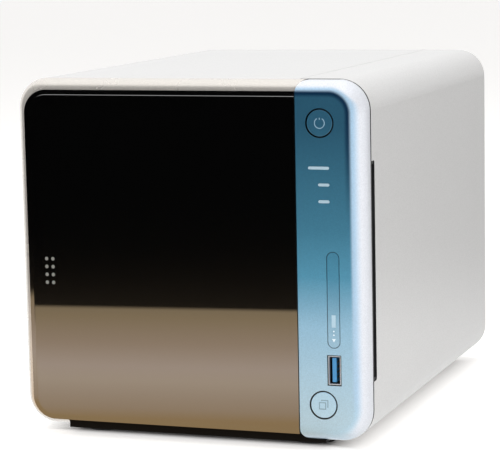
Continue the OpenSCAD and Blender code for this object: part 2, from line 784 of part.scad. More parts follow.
// Tray: front with lever pocket and vents, two rails and a pierced side plate.
module tray(k) color(dark_plastic) in_bay(k) difference() {
    y1 = tray_y0 + tray_front_t;
    rail_y1 = drive_y1 - 4;
    cx = bay_pitch / 2;
    pocket_w = lever_w + 0.8;
    pocket_z0 = lever_z0 - bay_cz - 1.5;
    vent = [18, 2.2];
    union() {
        slab(tray_y0, y1)
            round_rect(tray_side, bay_pitch - tray_side, -tray_h / 2, tray_h / 2, 1.5);
        for (s = [0, 1]) mirror([0, 0, s])
            block([rail_side, y1, rail_in], [bay_pitch - rail_side, rail_y1, rail_in + rail_h]);
        block([rail_side, y1, -rail_in], [rail_side + side_plate_t, rail_y1, rail_in]);
    }
    block([cx - pocket_w / 2, tray_y0 - overcut, pocket_z0],
          [cx + pocket_w / 2, lever_pivot_y + pocket_floor, lever_z0 - bay_cz + lever_l + 1]);
    block([cx - pocket_w / 2, tray_y0, pocket_z0],
          [cx + pocket_w / 2, lever_pivot_y + lever_barrel_d / 2 + pocket_floor,
           pocket_z0 + lever_barrel_d + 3]);
    translate([cx - lever_w / 2 - 3, lever_pivot_y, lever_pivot_z - bay_cz]) rotate([0, 90, 0])
        cylinder(d = lever_pin_d + 2 * fit, h = lever_w + 6);
    for (j = [0 : 4]) translate([cx - vent[0] / 2, tray_y0 - overcut, tray_h / 2 - 8 - j * 2 * vent[1]])
        cube([vent[0], tray_front_t + 2 * overcut, vent[1]]);
    for (j = [0 : 3], z = [-45, 5])
        block([rail_side - overcut, drive_y0 + 8 + j * 34, z],
              [rail_side + side_plate_t + overcut, drive_y0 + 28 + j * 34, z + 40]);
}

// Lever on a tray's front: a plate with a finger scoop, on a pin at its lower end.
module lever(k) color([0.12, 0.12, 0.13]) in_bay(k) {
    cx = bay_pitch / 2;
    z0 = lever_z0 - bay_cz;
    pz = lever_pivot_z - bay_cz;
    plate_t = 3;
    y0 = lever_pivot_y - lever_barrel_d / 2;
    difference() {
        union() {
            slab(y0, y0 + plate_t)
                round_rect(cx - lever_w / 2, cx + lever_w / 2, pz - 1, z0 + lever_l, 1);
            translate([cx - lever_w / 2, lever_pivot_y, pz]) rotate([0, 90, 0])
                cylinder(d = lever_barrel_d, h = lever_w);
        }
        slab(y0 - overcut, y0 + 1.4) {
            translate([cx, z0 + lever_l - 14]) circle(d = lever_w - 4);
            rect(cx - 0.8, cx + 0.8, z0 + 14, z0 + lever_l - 28);
        }
    }
    translate([cx - lever_w / 2 - 2.5, lever_pivot_y, pz]) rotate([0, 90, 0])
        cylinder(d = lever_pin_d, h = lever_w + 5);
}

drive_hole_y = [drive_y0 + 16, drive_y0 + 57.6, drive_y0 + 118];
drive_hole_d = 3.4;

// Hard drive on its edge: cast base, stamped lid and circuit board, with its connector pocket.
module drive(k) in_bay(k) {
    x0 = drive_side_x;
    pcb = 1.4;
    lid = 1.2;
    h2 = drive_h / 2;
    color([0.55, 0.56, 0.58]) difference() {
        block([x0 + pcb, drive_y0, -h2], [x0 + drive_w - lid, drive_y1, h2]);
        for (y = drive_hole_y) translate([x0 + 12, y, -h2 - overcut])
            cylinder(d = drive_hole_d, h = drive_h + 2 * overcut);
        block([x0 + pcb, drive_y1 - sata_depth - 1, sata_z - bay_cz - sata_h / 2 - slip],
              [x0 + 2.4 + sata_w + slip, drive_y1 + overcut, sata_z - bay_cz + sata_h / 2 + slip]);
    }
    color(steel) difference() {
        translate([x0 + drive_w - lid, 0, 0]) rotate([90, 0, 90]) linear_extrude(lid)
            round_rect(drive_y0 + 1.5, drive_y1 - 1.5, -h2 + 1.5, h2 - 1.5, 5);
        translate([x0 + drive_w - 0.4, drive_y0 + 98, 0]) rotate([0, 90, 0]) cylinder(d = 30, h = overcut);
    }
    color(board_green) block([x0 + 0.2, drive_y0 + 6, -h2 + 22], [x0 + pcb, drive_y0 + 118, h2 - 10]);
}

// Two clip-in strips whose pins hold the drive without screws.
module retainers(k) color([0.2, 0.2, 0.22]) in_bay(k) for (s = [0, 1]) mirror([0, 0, s]) {
    z0 = drive_h / 2 + retainer_gap;
    block([drive_side_x + 4, drive_y0 + 4, z0], [drive_side_x + 20, drive_y1 - 12, z0 + retainer_h]);
    for (y = drive_hole_y) translate([drive_side_x + 12, y, z0 - 3.3]) cylinder(d = 3, h = 3.3);
}

module tray_1() tray(0);
module tray_2() tray(1);
module tray_3() tray(2);
module tray_4() tray(3);
module lever_1() lever(0);
module lever_2() lever(1);
module lever_3() lever(2);
module lever_4() lever(3);
module drive_1() drive(0);
module drive_2() drive(1);
module drive_3() drive(2);
module drive_4() drive(3);
module retainers_1() retainers(0);
module retainers_2() retainers(1);
module retainers_3() retainers(2);
module retainers_4() retainers(3);

// ---------- mainboard ----------

// Places a drawing in the YZ plane and extrudes it from x0 to x1.
module plate_x(x0, x1) {
    translate([x0, 0, 0]) rotate([90, 0, 90]) linear_extrude(x1 - x0) children();
}

module mainboard() color(board_green) plate_x(board_x0, board_x1) difference() {
    rect(board_y0, board_y1, board_z0, board_z1);
    for (y = standoff_y, z = standoff_z) translate([y, z]) circle(d = 3.2);
}

cpu_y = 45;
cpu_z = bay_cz + 20;
cpu_t = 1.4;
sink_w = 44;

// Processor, power coils, capacitors, reset switch and fan header soldered to the mainboard.
module board_parts() color(dark_plastic) {
    plate_x(board_x1, board_x1 + cpu_t) rect(cpu_y - 8, cpu_y + 8, cpu_z - 8, cpu_z + 8);
    for (j = [0 : 3]) plate_x(board_x1, board_x1 + 5)
        rect(-8 + j * 9, -1 + j * 9, board_z0 + 8, board_z0 + 15);
    for (j = [0 : 4]) translate([board_x1, -55 + j * 9, board_z0 + 24]) rotate([0, 90, 0])
        cylinder(d = 6.3, h = 8);
    difference() {
        block([board_x1, back_y0 - 12, reset_z - 3], [reset_x + 3.5, back_y0 - 7, reset_z + 3]);
        rod_y(reset_x, reset_z, 2.4 + 0.3, back_y0 - 10, back_y0 - 7 + overcut);
    }
    plate_x(board_x1, board_x1 + header_h) rect(header_y[0], header_y[1], header_z - 2, header_z + 2);
}

// Finned block on the processor.
module cpu_heatsink() color("gray") {
    x0 = board_x1 + cpu_t;
    base_t = 3;
    fins = 9;
    fin_t = 1.4;
    pitch = (sink_w - fin_t) / (fins - 1);
    plate_x(x0, x0 + base_t) translate([cpu_y, cpu_z]) square(sink_w, center = true);
    for (j = [0 : fins - 1]) {
        z = cpu_z - sink_w / 2 + j * pitch;
        plate_x(x0 + base_t, x0 + 14) rect(cpu_y - sink_w / 2, cpu_y + sink_w / 2, z, z + fin_t);
    }
}

module_y = -52;
module_l = 67.6;
module_h = 30;
socket_lift = [4, 9];    // heights of the two stacked memory sockets

module memory_sockets() color(dark_plastic) for (i = [0, 1])
    plate_x(board_x1, board_x1 + socket_lift[i] + 1.4)
        rect(module_y - 3, module_y + module_l + 3, bay_cz - 10 - i * 8, bay_cz - 4 - i * 8);

// Two memory boards held one above the other, each with its chips.
module memory_modules() color(board_green) for (i = [0, 1]) {
    x = board_x1 + socket_lift[i] + 1.4;
    z0 = bay_cz - 10 - i * 8;
    plate_x(x, x + 1.2) rect(module_y, module_y + module_l, z0, z0 + module_h);
    for (j = [0 : 3]) plate_x(x + 1.2, x + 2.2)
        rect(module_y + 3 + j * 16, module_y + 16 + j * 16, z0 + 10, z0 + 22);
}

module coin_cell() color("silver") translate([board_x1, -30, board_z1 - 22]) rotate([0, 90, 0])
    cylinder(d = 20, h = 3.2);

// ---------- rear ports ----------

// Two network jacks with the stepped mouth that takes the plug and its latch.
module lan_jacks() color(steel) for (z = lan_z) difference() {
    slab(port_y1 - lan_size[1], port_y1) rect(board_x1, board_x1 + lan_size[0], z - 8, z + 8);
    slab(port_y1 - 14, port_y1 + overcut) {
        rect(board_x1 + 4.4, board_x1 + 11.4, z - 5.9, z + 5.9);
        rect(board_x1 + 2.8, board_x1 + 4.4, z - 3.1, z + 3.1);
        rect(board_x1 + 1.4, board_x1 + 2.8, z - 2, z + 2);
    }
}

// Places one receptacle of a rear stack with its mouth towards +Y.
module rear_usb_places() {
    for (z = rear_usb_z, i = [0, 1])
        translate([board_x1 + usb_stack[0] * (1 + 2 * i) / 4, port_y1, z]) mirror([0, 1, 0]) children();
}

module rear_usb_shells() color(steel) difference() {
    for (z = rear_usb_z) slab(port_y1 - usb_stack[1], port_y1)
        rect(board_x1, board_x1 + usb_stack[0], z - usb_stack[2] / 2, z + usb_stack[2] / 2);
    rear_usb_places() slab(-overcut, usb_stack[1] - 2) rect(-2.8, 2.8, -6.2, 6.2);
}

module rear_usb_tongues() color(usb_blue) rear_usb_places() usb_tongue(13.1, usb_stack[1] - 0.5);

// Display socket with its contact bar.
module hdmi_port() color(steel) {
    x0 = board_x1;
    difference() {
        slab(port_y1 - hdmi_size[1], port_y1) rect(x0, x0 + hdmi_size[0], hdmi_z - 7.5, hdmi_z + 7.5);
        slab(port_y1 - 10, port_y1 + overcut)
            polygon([[x0 + 0.5, hdmi_z - 5.4], [x0 + 2.2, hdmi_z - 7], [x0 + 5.3, hdmi_z - 7],
                     [x0 + 5.3, hdmi_z + 7], [x0 + 2.2, hdmi_z + 7], [x0 + 0.5, hdmi_z + 5.4]]);
    }
    block([x0 + 2.6, port_y1 - 10, hdmi_z - 5.5], [x0 + 3.6, port_y1 - 1, hdmi_z + 5.5]);
}

// Round power inlet with its centre pin.
module dc_inlet() color(dark_plastic) {
    x = board_x1 + dc_size[0] / 2;
    difference() {
        slab(port_y1 - dc_size[1], port_y1)
            rect(board_x1, board_x1 + dc_size[0], dc_z - dc_size[2] / 2, dc_z + dc_size[2] / 2);
        rod_y(x, dc_z, 6.4, port_y1 - 10, port_y1 + overcut);
    }
    rod_y(x, dc_z, 2, port_y1 - 10, port_y1 - 0.8);
}

// Recessed reset plunger between its switch and the hole in the back panel.
module reset_button() color(dark_plastic) rod_y(reset_x, reset_z, 2.4, back_y0 - 9, back_y0 - 0.6);

// ---------- rear ----------

grille_rings = 7;
grille_bar = 2;

// Drawing of the fan grille's open area: rings cut by four straight spokes.
module grille_slots() {
    r0 = 12;
    step = (fan_bore / 2 - r0) / grille_rings;
    translate([bay_cx, bay_cz]) difference() {
        for (j = [0 : grille_rings - 1]) difference() {
            circle(r0 + (j + 1) * step - grille_bar / 2);
            circle(r0 + j * step + grille_bar / 2);
        }
        for (a = [45, 135]) rotate(a) square([fan_bore + 2, 5], center = true);
    }
}

lock_x = bay_cx - 48;
lock_z = top_z - 16;

// Drawing of the holes around the rear ports.
module port_holes() {
    g = 0.25;
    for (z = lan_z) rect(board_x1 - g, board_x1 + lan_size[0] + g, z - 8 - g, z + 8 + g);
    for (z = rear_usb_z)
        rect(board_x1 - g, board_x1 + usb_stack[0] + g, z - usb_stack[2] / 2 - g, z + usb_stack[2] / 2 + g);
    rect(board_x1 - g, board_x1 + hdmi_size[0] + g, hdmi_z - 7.5 - g, hdmi_z + 7.5 + g);
    rect(board_x1 - g, board_x1 + dc_size[0] + g, dc_z - 4.5 - g, dc_z + 4.5 + g);
    translate([reset_x, reset_z]) circle(d = 3);
    rect(lock_x - 3.5, lock_x + 3.5, lock_z - 1.5, lock_z + 1.5);
}

fan_screw_places = [for (sx = [-1, 1], sz = [-1, 1])
    [bay_cx + sx * fan_hole_pitch / 2, bay_cz + sz * fan_hole_pitch / 2]];

// Painted sheet with the fan grille, the ports' holes and a lock slot.
module back_panel() color(steel) slab(back_y0, back_y1) difference() {
    case_outline(wall_t + slip);
    grille_slots();
    port_holes();
    for (p = concat(shell_bosses, cover_bosses)) translate(p) circle(d = screw_d + 0.4);
    for (p = fan_screw_places) translate(p) circle(d = 4.3);
}

module case_screws() color(steel)
    for (p = concat(shell_bosses, cover_bosses))
        screw_y(p[0], p[1], back_y1, 5.6, 1.6, screw_d - 2 * fit, 9);

// Square fan body: duct, corner lugs and the motor mount on four struts.
module fan_frame() color(dark_plastic) {
    lug_t = 4;
    lug_in = 5.5;
    lug_out = 9;
    mount_d = hub_d + 2;
    strut = 4;
    struts_y1 = back_y0 - 0.5;
    difference() {
        slab(fan_y0, back_y0) translate([bay_cx, bay_cz])
            round_rect(-fan_size / 2, fan_size / 2, -fan_size / 2, fan_size / 2, 6);
        rod_y(bay_cx, bay_cz, fan_bore, fan_y0 - overcut, back_y0 + overcut);
        for (p = fan_screw_places) rod_y(p[0], p[1], 4.3, fan_y0 - overcut, back_y0 + overcut);
        translate([bay_cx, 0, bay_cz]) for (a = [0, 1], b = [0, 1]) mirror([a, 0, 0]) mirror([0, 0, b])
            slab(fan_y0 + lug_t, back_y0 - lug_t)
                rect(fan_hole_pitch / 2 - lug_in, fan_hole_pitch / 2 + lug_out,
                     fan_hole_pitch / 2 - lug_in, fan_hole_pitch / 2 + lug_out);
    }
    difference() {
        union() {
            rod_y(bay_cx, bay_cz, mount_d, motor_y, struts_y1);
            for (a = [0 : 90 : 270]) translate([bay_cx, 0, bay_cz]) rotate([0, a, 0])
                block([mount_d / 2 - 1, motor_y + 0.5, -strut / 2],
                      [fan_bore / 2 + 0.5, struts_y1, strut / 2]);
            rod_y(bay_cx, bay_cz, 8, motor_y - 14, motor_y);
        }
        rod_y(bay_cx, bay_cz, shaft_d + 2 * fit, motor_y - 15, motor_y + 2);
    }
}

blade_t = 1.8;
blade_bend_r = 34;       // radius that a blade is curved to
blade_arc = 50;          // degrees of that curve
blade_pitch = 38;        // degrees that a blade leans from the fan's plane

// Rotor: hub cup with its shaft, and curved pitched blades cut to the duct.
module fan_rotor() color([0.1, 0.1, 0.11]) translate([bay_cx, 0, bay_cz]) {
    y0 = fan_y0 + 1.5;
    y1 = motor_y - 1;
    tip_r = fan_bore / 2 - tip_gap;
    difference() {
        rod_y(0, 0, hub_d, y0, y1);
        rod_y(0, 0, hub_d - 4, y0 + 2, y1 + overcut);
    }
    rod_y(0, 0, shaft_d, y0 + 1, motor_y + 1.5);
    intersection() {
        difference() {
            rod_y(0, 0, 2 * tip_r, y0 + 0.5, y1);
            rod_y(0, 0, hub_d - 2, y0 - overcut, y1 + overcut);
        }
        for (k = [0 : blade_count - 1]) rotate([0, k * 360 / blade_count, 0])
            translate([0, (y0 + y1) / 2, 0]) rotate([blade_pitch, 0, 0]) blade(tip_r);
    }
}

// One blade before it is cut: part of a thin tube's wall, standing outwards along X.
module blade(reach) {
    translate([hub_d / 2 - 3, 0, -blade_bend_r]) rotate([0, 90, 0]) rotate([0, 0, 180 - blade_arc / 2])
        rotate_extrude(angle = blade_arc) translate([blade_bend_r, 0]) square([blade_t, reach]);
}

module fan_screws() color(steel)
    for (p = fan_screw_places) screw_y(p[0], p[1], back_y1, 5.6, 1.6, 4, 8);

header_y = [62, 72];
header_z = board_z1 - 10;
header_h = 7;
lead_d = 3;
lead_bend_r = 6;         // radius that the lead bends to, along its middle

// Quarter bend of the lead, from +X up to +Z.
module lead_bend() {
    rotate([90, 0, 0]) rotate_extrude(angle = 90) translate([lead_bend_r, 0]) circle(d = lead_d);
}

// Fan cable: out of the fan's corner, over the mainboard's upper edge and down to its header.
module fan_lead() color("black") {
    from = [bay_cx + fan_size / 2 - 4, fan_y0 - lead_d / 2];
    to = [board_x1 + header_h / 2, header_y[1] - 5];
    from_z = bay_cz + fan_size / 2 - 12;
    to_z = header_z + 2;
    bend_z = board_z1 + 4 - lead_bend_r;
    run = norm(to - from);
    translate([from[0], from[1], 0]) rotate([0, 0, atan2(to[1] - from[1], to[0] - from[0])]) {
        translate([0, 0, from_z]) cylinder(d = lead_d, h = bend_z - from_z);
        translate([lead_bend_r, 0, bend_z]) mirror([1, 0, 0]) lead_bend();
        translate([lead_bend_r, 0, bend_z + lead_bend_r]) rotate([0, 90, 0])
            cylinder(d = lead_d, h = run - 2 * lead_bend_r);
        translate([run - lead_bend_r, 0, bend_z]) lead_bend();
        translate([run, 0, to_z]) cylinder(d = lead_d, h = bend_z - to_z);
    }
}

// ---------- base ----------

foot_y = [front_y + foot_y_inset, rear_y - foot_y_inset];
rail_t = foot_h - 1.2;
rail_past = 2.5;         // from a foot's edge to the rail's end
rail_x = foot_x + foot_d / 2 + rail_past;
skirt_t = 1.5;           // shelf under the case's front edge
skirt_y = seam_y - 3.5;
skirt_z1 = door_z0 + 1;

// Long rails under the front and rear edges that carry the rubber feet. The front one has a
// shelf under the case's edge and a skirt behind the door's lower edge.
module foot_rails() color(dark_plastic) {
    for (y = foot_y) translate([0, y, bottom_z - rail_t]) linear_extrude(rail_t)
        round_rect(-rail_x, rail_x, -foot_d / 2, foot_d / 2, 3);
    block([-rail_x, skirt_y, bottom_z - skirt_t], [rail_x, foot_y[0], bottom_z]);
    slab(skirt_y, seam_y) difference() {
        rect(-rail_x, split_x + panel_corner_r, bottom_z - skirt_t, skirt_z1);
        panel_outline(part_gap);
    }
}

module rubber_feet() color(rubber) for (x = [-foot_x, foot_x], y = foot_y)
    translate([x, y, 0]) cylinder(d = foot_d, h = bottom_z - rail_t);

left_shell();
right_cover();
front_bezel();
control_panel();
front_frame();
progress_lens();
status_lenses();
front_usb_shell();
front_usb_tongue();
front_board();
drive_cage();
bay_guides();
backplane();
sata_sockets();
mainboard();
board_parts();
cpu_heatsink();
memory_sockets();
memory_modules();
coin_cell();
lan_jacks();
rear_usb_shells();
rear_usb_tongues();
hdmi_port();
dc_inlet();
back_panel();
fan_frame();
fan_screws();
case_screws();
fan_lead();
foot_rails();
rubber_feet();
latch_bars();
door_panel();
door_carrier();
grip_dots();
tray_1();
tray_2();
tray_3();
tray_4();
lever_1();
lever_2();
lever_3();
lever_4();
drive_1();
drive_2();
drive_3();
drive_4();
retainers_1();
retainers_2();
retainers_3();
retainers_4();
power_button();
copy_button();
reset_button();
fan_rotor();
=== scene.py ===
"""Finishes, markings, contacts and stage for a four-bay desktop network storage unit."""

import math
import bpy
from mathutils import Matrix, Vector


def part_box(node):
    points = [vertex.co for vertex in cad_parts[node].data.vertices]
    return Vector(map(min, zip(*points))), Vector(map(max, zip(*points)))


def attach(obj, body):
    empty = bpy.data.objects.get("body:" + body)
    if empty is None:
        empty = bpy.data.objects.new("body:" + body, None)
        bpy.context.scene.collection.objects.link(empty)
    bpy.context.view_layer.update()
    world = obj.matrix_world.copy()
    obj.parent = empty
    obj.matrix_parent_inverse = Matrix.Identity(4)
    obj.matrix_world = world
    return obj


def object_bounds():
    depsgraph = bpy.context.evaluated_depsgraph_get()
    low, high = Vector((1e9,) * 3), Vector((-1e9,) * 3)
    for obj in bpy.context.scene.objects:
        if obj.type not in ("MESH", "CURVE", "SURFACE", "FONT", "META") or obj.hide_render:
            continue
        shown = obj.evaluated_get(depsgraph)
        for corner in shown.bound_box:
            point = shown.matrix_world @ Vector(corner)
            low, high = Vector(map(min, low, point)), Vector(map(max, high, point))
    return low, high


bl_info = {
    "name": "Network Storage Unit",
    "version": (1, 0, 0),
    "blender": (4, 5, 0),
    "location": "View3D > Sidebar > Storage Unit",
    "description": "Finishes, markings, contacts and stage for a four-bay network storage unit",
    "category": "Object",
}

import bmesh
import bpy
from mathutils import Matrix, Vector

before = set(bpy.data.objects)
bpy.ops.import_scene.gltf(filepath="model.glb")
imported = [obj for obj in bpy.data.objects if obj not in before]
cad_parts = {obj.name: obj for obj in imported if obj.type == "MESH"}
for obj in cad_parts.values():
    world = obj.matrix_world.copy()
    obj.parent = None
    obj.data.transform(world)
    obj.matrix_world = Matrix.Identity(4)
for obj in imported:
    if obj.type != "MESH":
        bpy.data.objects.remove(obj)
CAD_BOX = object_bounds()

MM = 0.001
PRINT_DEPTH = 0.03 * MM      # thickness of printed ink
INLAY_DEPTH = 0.05 * MM      # how far a fitted contact stands off its plastic
CAP_RADIUS = 6.0 * MM        # button caps
CAP_GAP = 0.55 * MM          # air round a button cap
WINDOW_FLANGE = 1.2 * MM     # progress window, hidden behind the panel
SLOT_WIDTH = 5.0 * MM        # air slot, from the front edge of the right cover
SLOT_HEIGHT = 100 * MM
SLOT_DROP = 4.8 * MM         # middle of the slot, below the middle of the cover
# painted shade: near black that stands in for the gaps and edges that get no light
PAINTED_SHADE = (0.002, 0.003, 0.004)  # gaps and edges that get no light
USB_MOUTH = (("X", 3.15 * MM), ("Z", 6.85 * MM))    # half sizes of the front port's opening
RIM_SIDE = 7.0 * MM          # width of the panel's silver rim on the right
RIM_TOP = 4.6 * MM
RIM_FOOT = 5.8 * MM
RIM_CORNER = 10.0 * MM       # radius of the rim's inner corners
LOOKED_AT = (-9.94 * MM, 0, 81.69 * MM)             # point that the camera faces


def srgb(red, green, blue):
    """Linear colour from 0-255 screen values."""
    return tuple(((v / 255 + 0.055) / 1.055) ** 2.4 if v > 10 else v / 255 / 12.92
                 for v in (red, green, blue))


def centre(node):
    """Middle of a frame node's box."""
    low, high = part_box(node)
    return (low + high) / 2


# ---------------------------------------------------------------- settings

def colour_property(name, description, default):
    return bpy.props.FloatVectorProperty(name=name, description=description, subtype="COLOR",
                                         size=3, min=0, max=1, default=default)


def length_property(name, description, default):
    return bpy.props.FloatProperty(name=name, description=description, unit="LENGTH",
                                   min=0, default=default)


def angle_property(name, description, degrees):
    return bpy.props.FloatProperty(name=name, description=description, subtype="ANGLE",
                                   default=math.radians(degrees))


def power_property(name, description, default):
    return bpy.props.FloatProperty(name=name, description=description, unit="POWER",
                                   default=default)


class PaintSettings(bpy.types.PropertyGroup):
    """Colours of the unit's outer parts, and the painted reflection, highlight and shade on the
    control panel.
    """
    cover: colour_property("Covers", "Satin paint of the two outer covers", (0.78, 0.775, 0.77))
    bezel: colour_property("Bezel", "Silver frame round the door", (0.80, 0.76, 0.71))
    # the silver rounding, partly a painted highlight
    rim: colour_property("Panel Rim", "Silver rounding round the control panel",
                         srgb(229, 232, 239))
    # painted highlight: pale blue band where the panel's blue meets the silver
    rim_highlight_tint: colour_property("Rim Tint", "Pale blue where the panel meets its rim",
                              srgb(173, 204, 229))
    # painted shade: dark line just inside the rim at the top
    panel_painted_shade: colour_property("Panel Shade", "Dark line inside the panel's rim, at the top",
                                srgb(2, 46, 76))
    # the panel's blue at five heights; its fade from dark at the top to pale below is a painted
    # reflection
    panel_top: colour_property("Panel Top", "Control panel beside the power button",
                               srgb(37, 87, 112))
    panel_upper: colour_property("Panel Upper", "Control panel below the status lights",
                                 srgb(62, 124, 151))
    panel_middle: colour_property("Panel Middle", "Control panel at its middle",
                                  srgb(82, 150, 180))
    panel_lower: colour_property("Panel Lower", "Control panel above the front port",
                                 srgb(147, 192, 219))
    panel_low: colour_property("Panel Bottom", "Control panel beside the copy button",
                               srgb(179, 209, 226))
    door: colour_property("Door", "Gloss plastic of the door", (0.001, 0.001, 0.001))
    pale_print: colour_property("Pale Ink", "Ink of the power mark", srgb(134, 164, 184))
    dark_print: colour_property("Dark Ink", "Ink of the copy mark", srgb(132, 160, 176))


class MarkSettings(bpy.types.PropertyGroup):
    """Sizes of the printed marks."""
    line: length_property("Line", "Width of a printed line", 0.36 * MM)
    ring: length_property("Power Ring", "Radius of the power mark's ring", 2.3 * MM)
    ring_gap: angle_property("Ring Gap", "Opening at the top of the power ring", 60)
    sheet: length_property("Copy Sheet", "Side of one sheet of the copy mark", 3.4 * MM)
    sheet_shift: length_property("Sheet Shift", "Offset between the copy mark's sheets", 1.1 * MM)
    dot: length_property("Progress Dot", "Diameter of a progress dot", 0.7 * MM)
    dot_pitch: length_property("Dot Pitch", "Spacing of the progress dots", 1.68 * MM)
    arrow: length_property("Arrow", "Width of the progress arrow", 1.75 * MM)
    bar: length_property("Progress Bar", "Width of the bar over the progress dots", 1.9 * MM)


class StageSettings(bpy.types.PropertyGroup):
    """Camera, floor and lights."""
    azimuth: angle_property("Azimuth", "Camera's turn round the unit, from the door", 19.66)
    elevation: angle_property("Elevation", "Camera's height above the level", 8.10)
    roll: angle_property("Roll", "Camera's tilt about its own axis", -1.16)
    distance: length_property("Distance", "Camera to the point it looks at", 1.0898)
    lens: bpy.props.FloatProperty(name="Lens", unit="CAMERA", default=154.79,
                                  description="Focal length on a 36 mm sensor")
    ambient: bpy.props.FloatProperty(name="Ambient", min=0, default=0.52,
                                     description="Strength of the even light from all round")
    top_power: power_property("Top Light", "Soft light above the unit", 9.0)
    side_power: power_property("Side Light", "Soft light on the right", 1.2)
    front_power: power_property("Front Light", "Soft light from the front", 14.0)


# ---------------------------------------------------------------- node helpers

def plug(tree, socket, value):
    """Links a socket to another, or gives it a plain value."""
    if isinstance(value, bpy.types.NodeSocket):
        tree.links.new(value, socket)
    elif isinstance(value, (int, float)):
        socket.default_value = value
    else:
        value = tuple(value)
        socket.default_value = value + (1,) if socket.type == "RGBA" and len(value) == 3 else value


def add_node(tree, kind, inputs=None, **options):
    """Adds a node with its options, and fills its inputs by name or number."""
    node = tree.nodes.new(kind)
    for option, value in options.items():
        setattr(node, option, value)
    for label, value in (inputs or {}).items():
        plug(tree, node.inputs[label], value)
    return node


def calculate(tree, operation, a, b=0.0, clamp=False):
    """One step of arithmetic."""
    node = add_node(tree, "ShaderNodeMath", {0: a, 1: b}, operation=operation, use_clamp=clamp)
    return node.outputs[0]


def mix_colour(tree, factor, a, b, blend="MIX"):
    """Blend of two colours."""
    node = add_node(tree, "ShaderNodeMix", data_type="RGBA", blend_type=blend)
    for number, value in ((0, factor), (6, a), (7, b)):
        plug(tree, node.inputs[number], value)
    return node.outputs[2]


def ease(tree, value, low, high):
    """Smooth rise from 0 at low to 1 at high."""
    node = add_node(tree, "ShaderNodeMapRange",
                    {"Value": value, "From Min": low, "From Max": high},
                    interpolation_type="SMOOTHSTEP")
    return node.outputs["Result"]


def colour_ramp(tree, factor, stops):
    """Colour that passes through (position, colour) stops."""
    ramp = add_node(tree, "ShaderNodeValToRGB", {"Fac": factor})
    elements = ramp.color_ramp.elements
    while len(elements) < len(stops):
        elements.new(0.5)
    for element, (position, colour) in zip(elements, stops):
        element.position = position
        element.color = (*colour, 1)
    return ramp.outputs["Color"]


def chain(tree, operation, values):
    """The same step of arithmetic, taken through a row of values."""
    result = values[0]
    for value in values[1:]:
        result = calculate(tree, operation, result, value)
    return result


def times(tree, *values):
    return chain(tree, "MULTIPLY", values)


def plus(tree, *values):
    return chain(tree, "ADD", values)


def minus(tree, *values):
    return chain(tree, "SUBTRACT", values)


def highest(tree, *values):
    return chain(tree, "MAXIMUM", values)


def apart(tree, a, b):
    """How far apart two values are."""
    return calculate(tree, "ABSOLUTE", minus(tree, a, b))


def reach_of(tree, across, along):
    """Length of a flat vector."""
    squares = plus(tree, times(tree, across, across), times(tree, along, along))
    return calculate(tree, "SQRT", squares)


def vector_step(tree, operation, *vectors):
    """One step of vector arithmetic."""
    return add_node(tree, "ShaderNodeVectorMath", dict(enumerate(vectors)),
                    operation=operation).outputs


def scaled(tree, vector, level):
    """Vector or colour made longer or shorter."""
    return add_node(tree, "ShaderNodeVectorMath", {0: vector, "Scale": level},
                    operation="SCALE").outputs[0]


def noise(tree, vector, scale, detail=2.0):
    """Soft random pattern."""
    return add_node(tree, "ShaderNodeTexNoise",
                    {"Vector": vector, "Scale": scale, "Detail": detail}).outputs


def cells(tree, vector, scale, **options):
    """Random cells, each with its own colour."""
    return add_node(tree, "ShaderNodeTexVoronoi", {"Vector": vector, "Scale": scale},
                    **options).outputs


def tinted(tree, colour, level):
    """Colour made lighter or darker by a level."""
    return mix_colour(tree, 1.0, colour, level, "MULTIPLY")


def split(tree, vector):
    """The X, Y and Z of a vector."""
    return add_node(tree, "ShaderNodeSeparateXYZ", {0: vector}).outputs


def object_place(tree):
    """Coordinates of the shaded point in the unit's own frame."""
    return add_node(tree, "ShaderNodeTexCoord").outputs["Object"]


# ---------------------------------------------------------------- shared effects

def start_group(name, inputs, outputs):
    """A shader node group with named sockets."""
    tree = bpy.data.node_groups.new(name, "ShaderNodeTree")
    for label, kind in inputs:
        tree.interface.new_socket(label, in_out="INPUT", socket_type="NodeSocket" + kind)
    for label, kind in outputs:
        tree.interface.new_socket(label, in_out="OUTPUT", socket_type="NodeSocket" + kind)
    return tree, tree.nodes.new("NodeGroupInput").outputs, tree.nodes.new("NodeGroupOutput").inputs


def uneven(tree, change, roughness):
    """Roughness that changes from place to place, kept between 0 and 1."""
    return calculate(tree, "ADD", change, roughness, clamp=True)


def grain_group():
    """Moulded or powder-coated skin: fine bumps, and patches that shine more or less."""
    tree, given, result = start_group(
        "Skin Grain",
        [("Vector", "Vector"), ("Scale", "Float"), ("Roughness", "Float"), ("Spread", "Float")],
        [("Height", "Float"), ("Roughness", "Float")])
    bumps = noise(tree, given["Vector"], given["Scale"], 3.0)["Fac"]
    patches = noise(tree, given["Vector"], 26.0, 4.0)["Fac"]
    spread = times(tree, minus(tree, patches, 0.5), given["Spread"])
    plug(tree, result["Height"], bumps)
    plug(tree, result["Roughness"], uneven(tree, spread, given["Roughness"]))
    return tree


def flake_group():
    """Metallic paint: tiny flakes, each a little lighter or darker than the paint."""
    tree, given, result = start_group(
        "Paint Flake",
        [("Vector", "Vector"), ("Color", "Color"), ("Scale", "Float"), ("Amount", "Float")],
        [("Color", "Color")])
    glint = split(tree, cells(tree, given["Vector"], given["Scale"])["Color"])["X"]
    change = times(tree, minus(tree, glint, 0.5), given["Amount"])
    plug(tree, result["Color"], scaled(tree, given["Color"], plus(tree, change, 1.0)))
    return tree


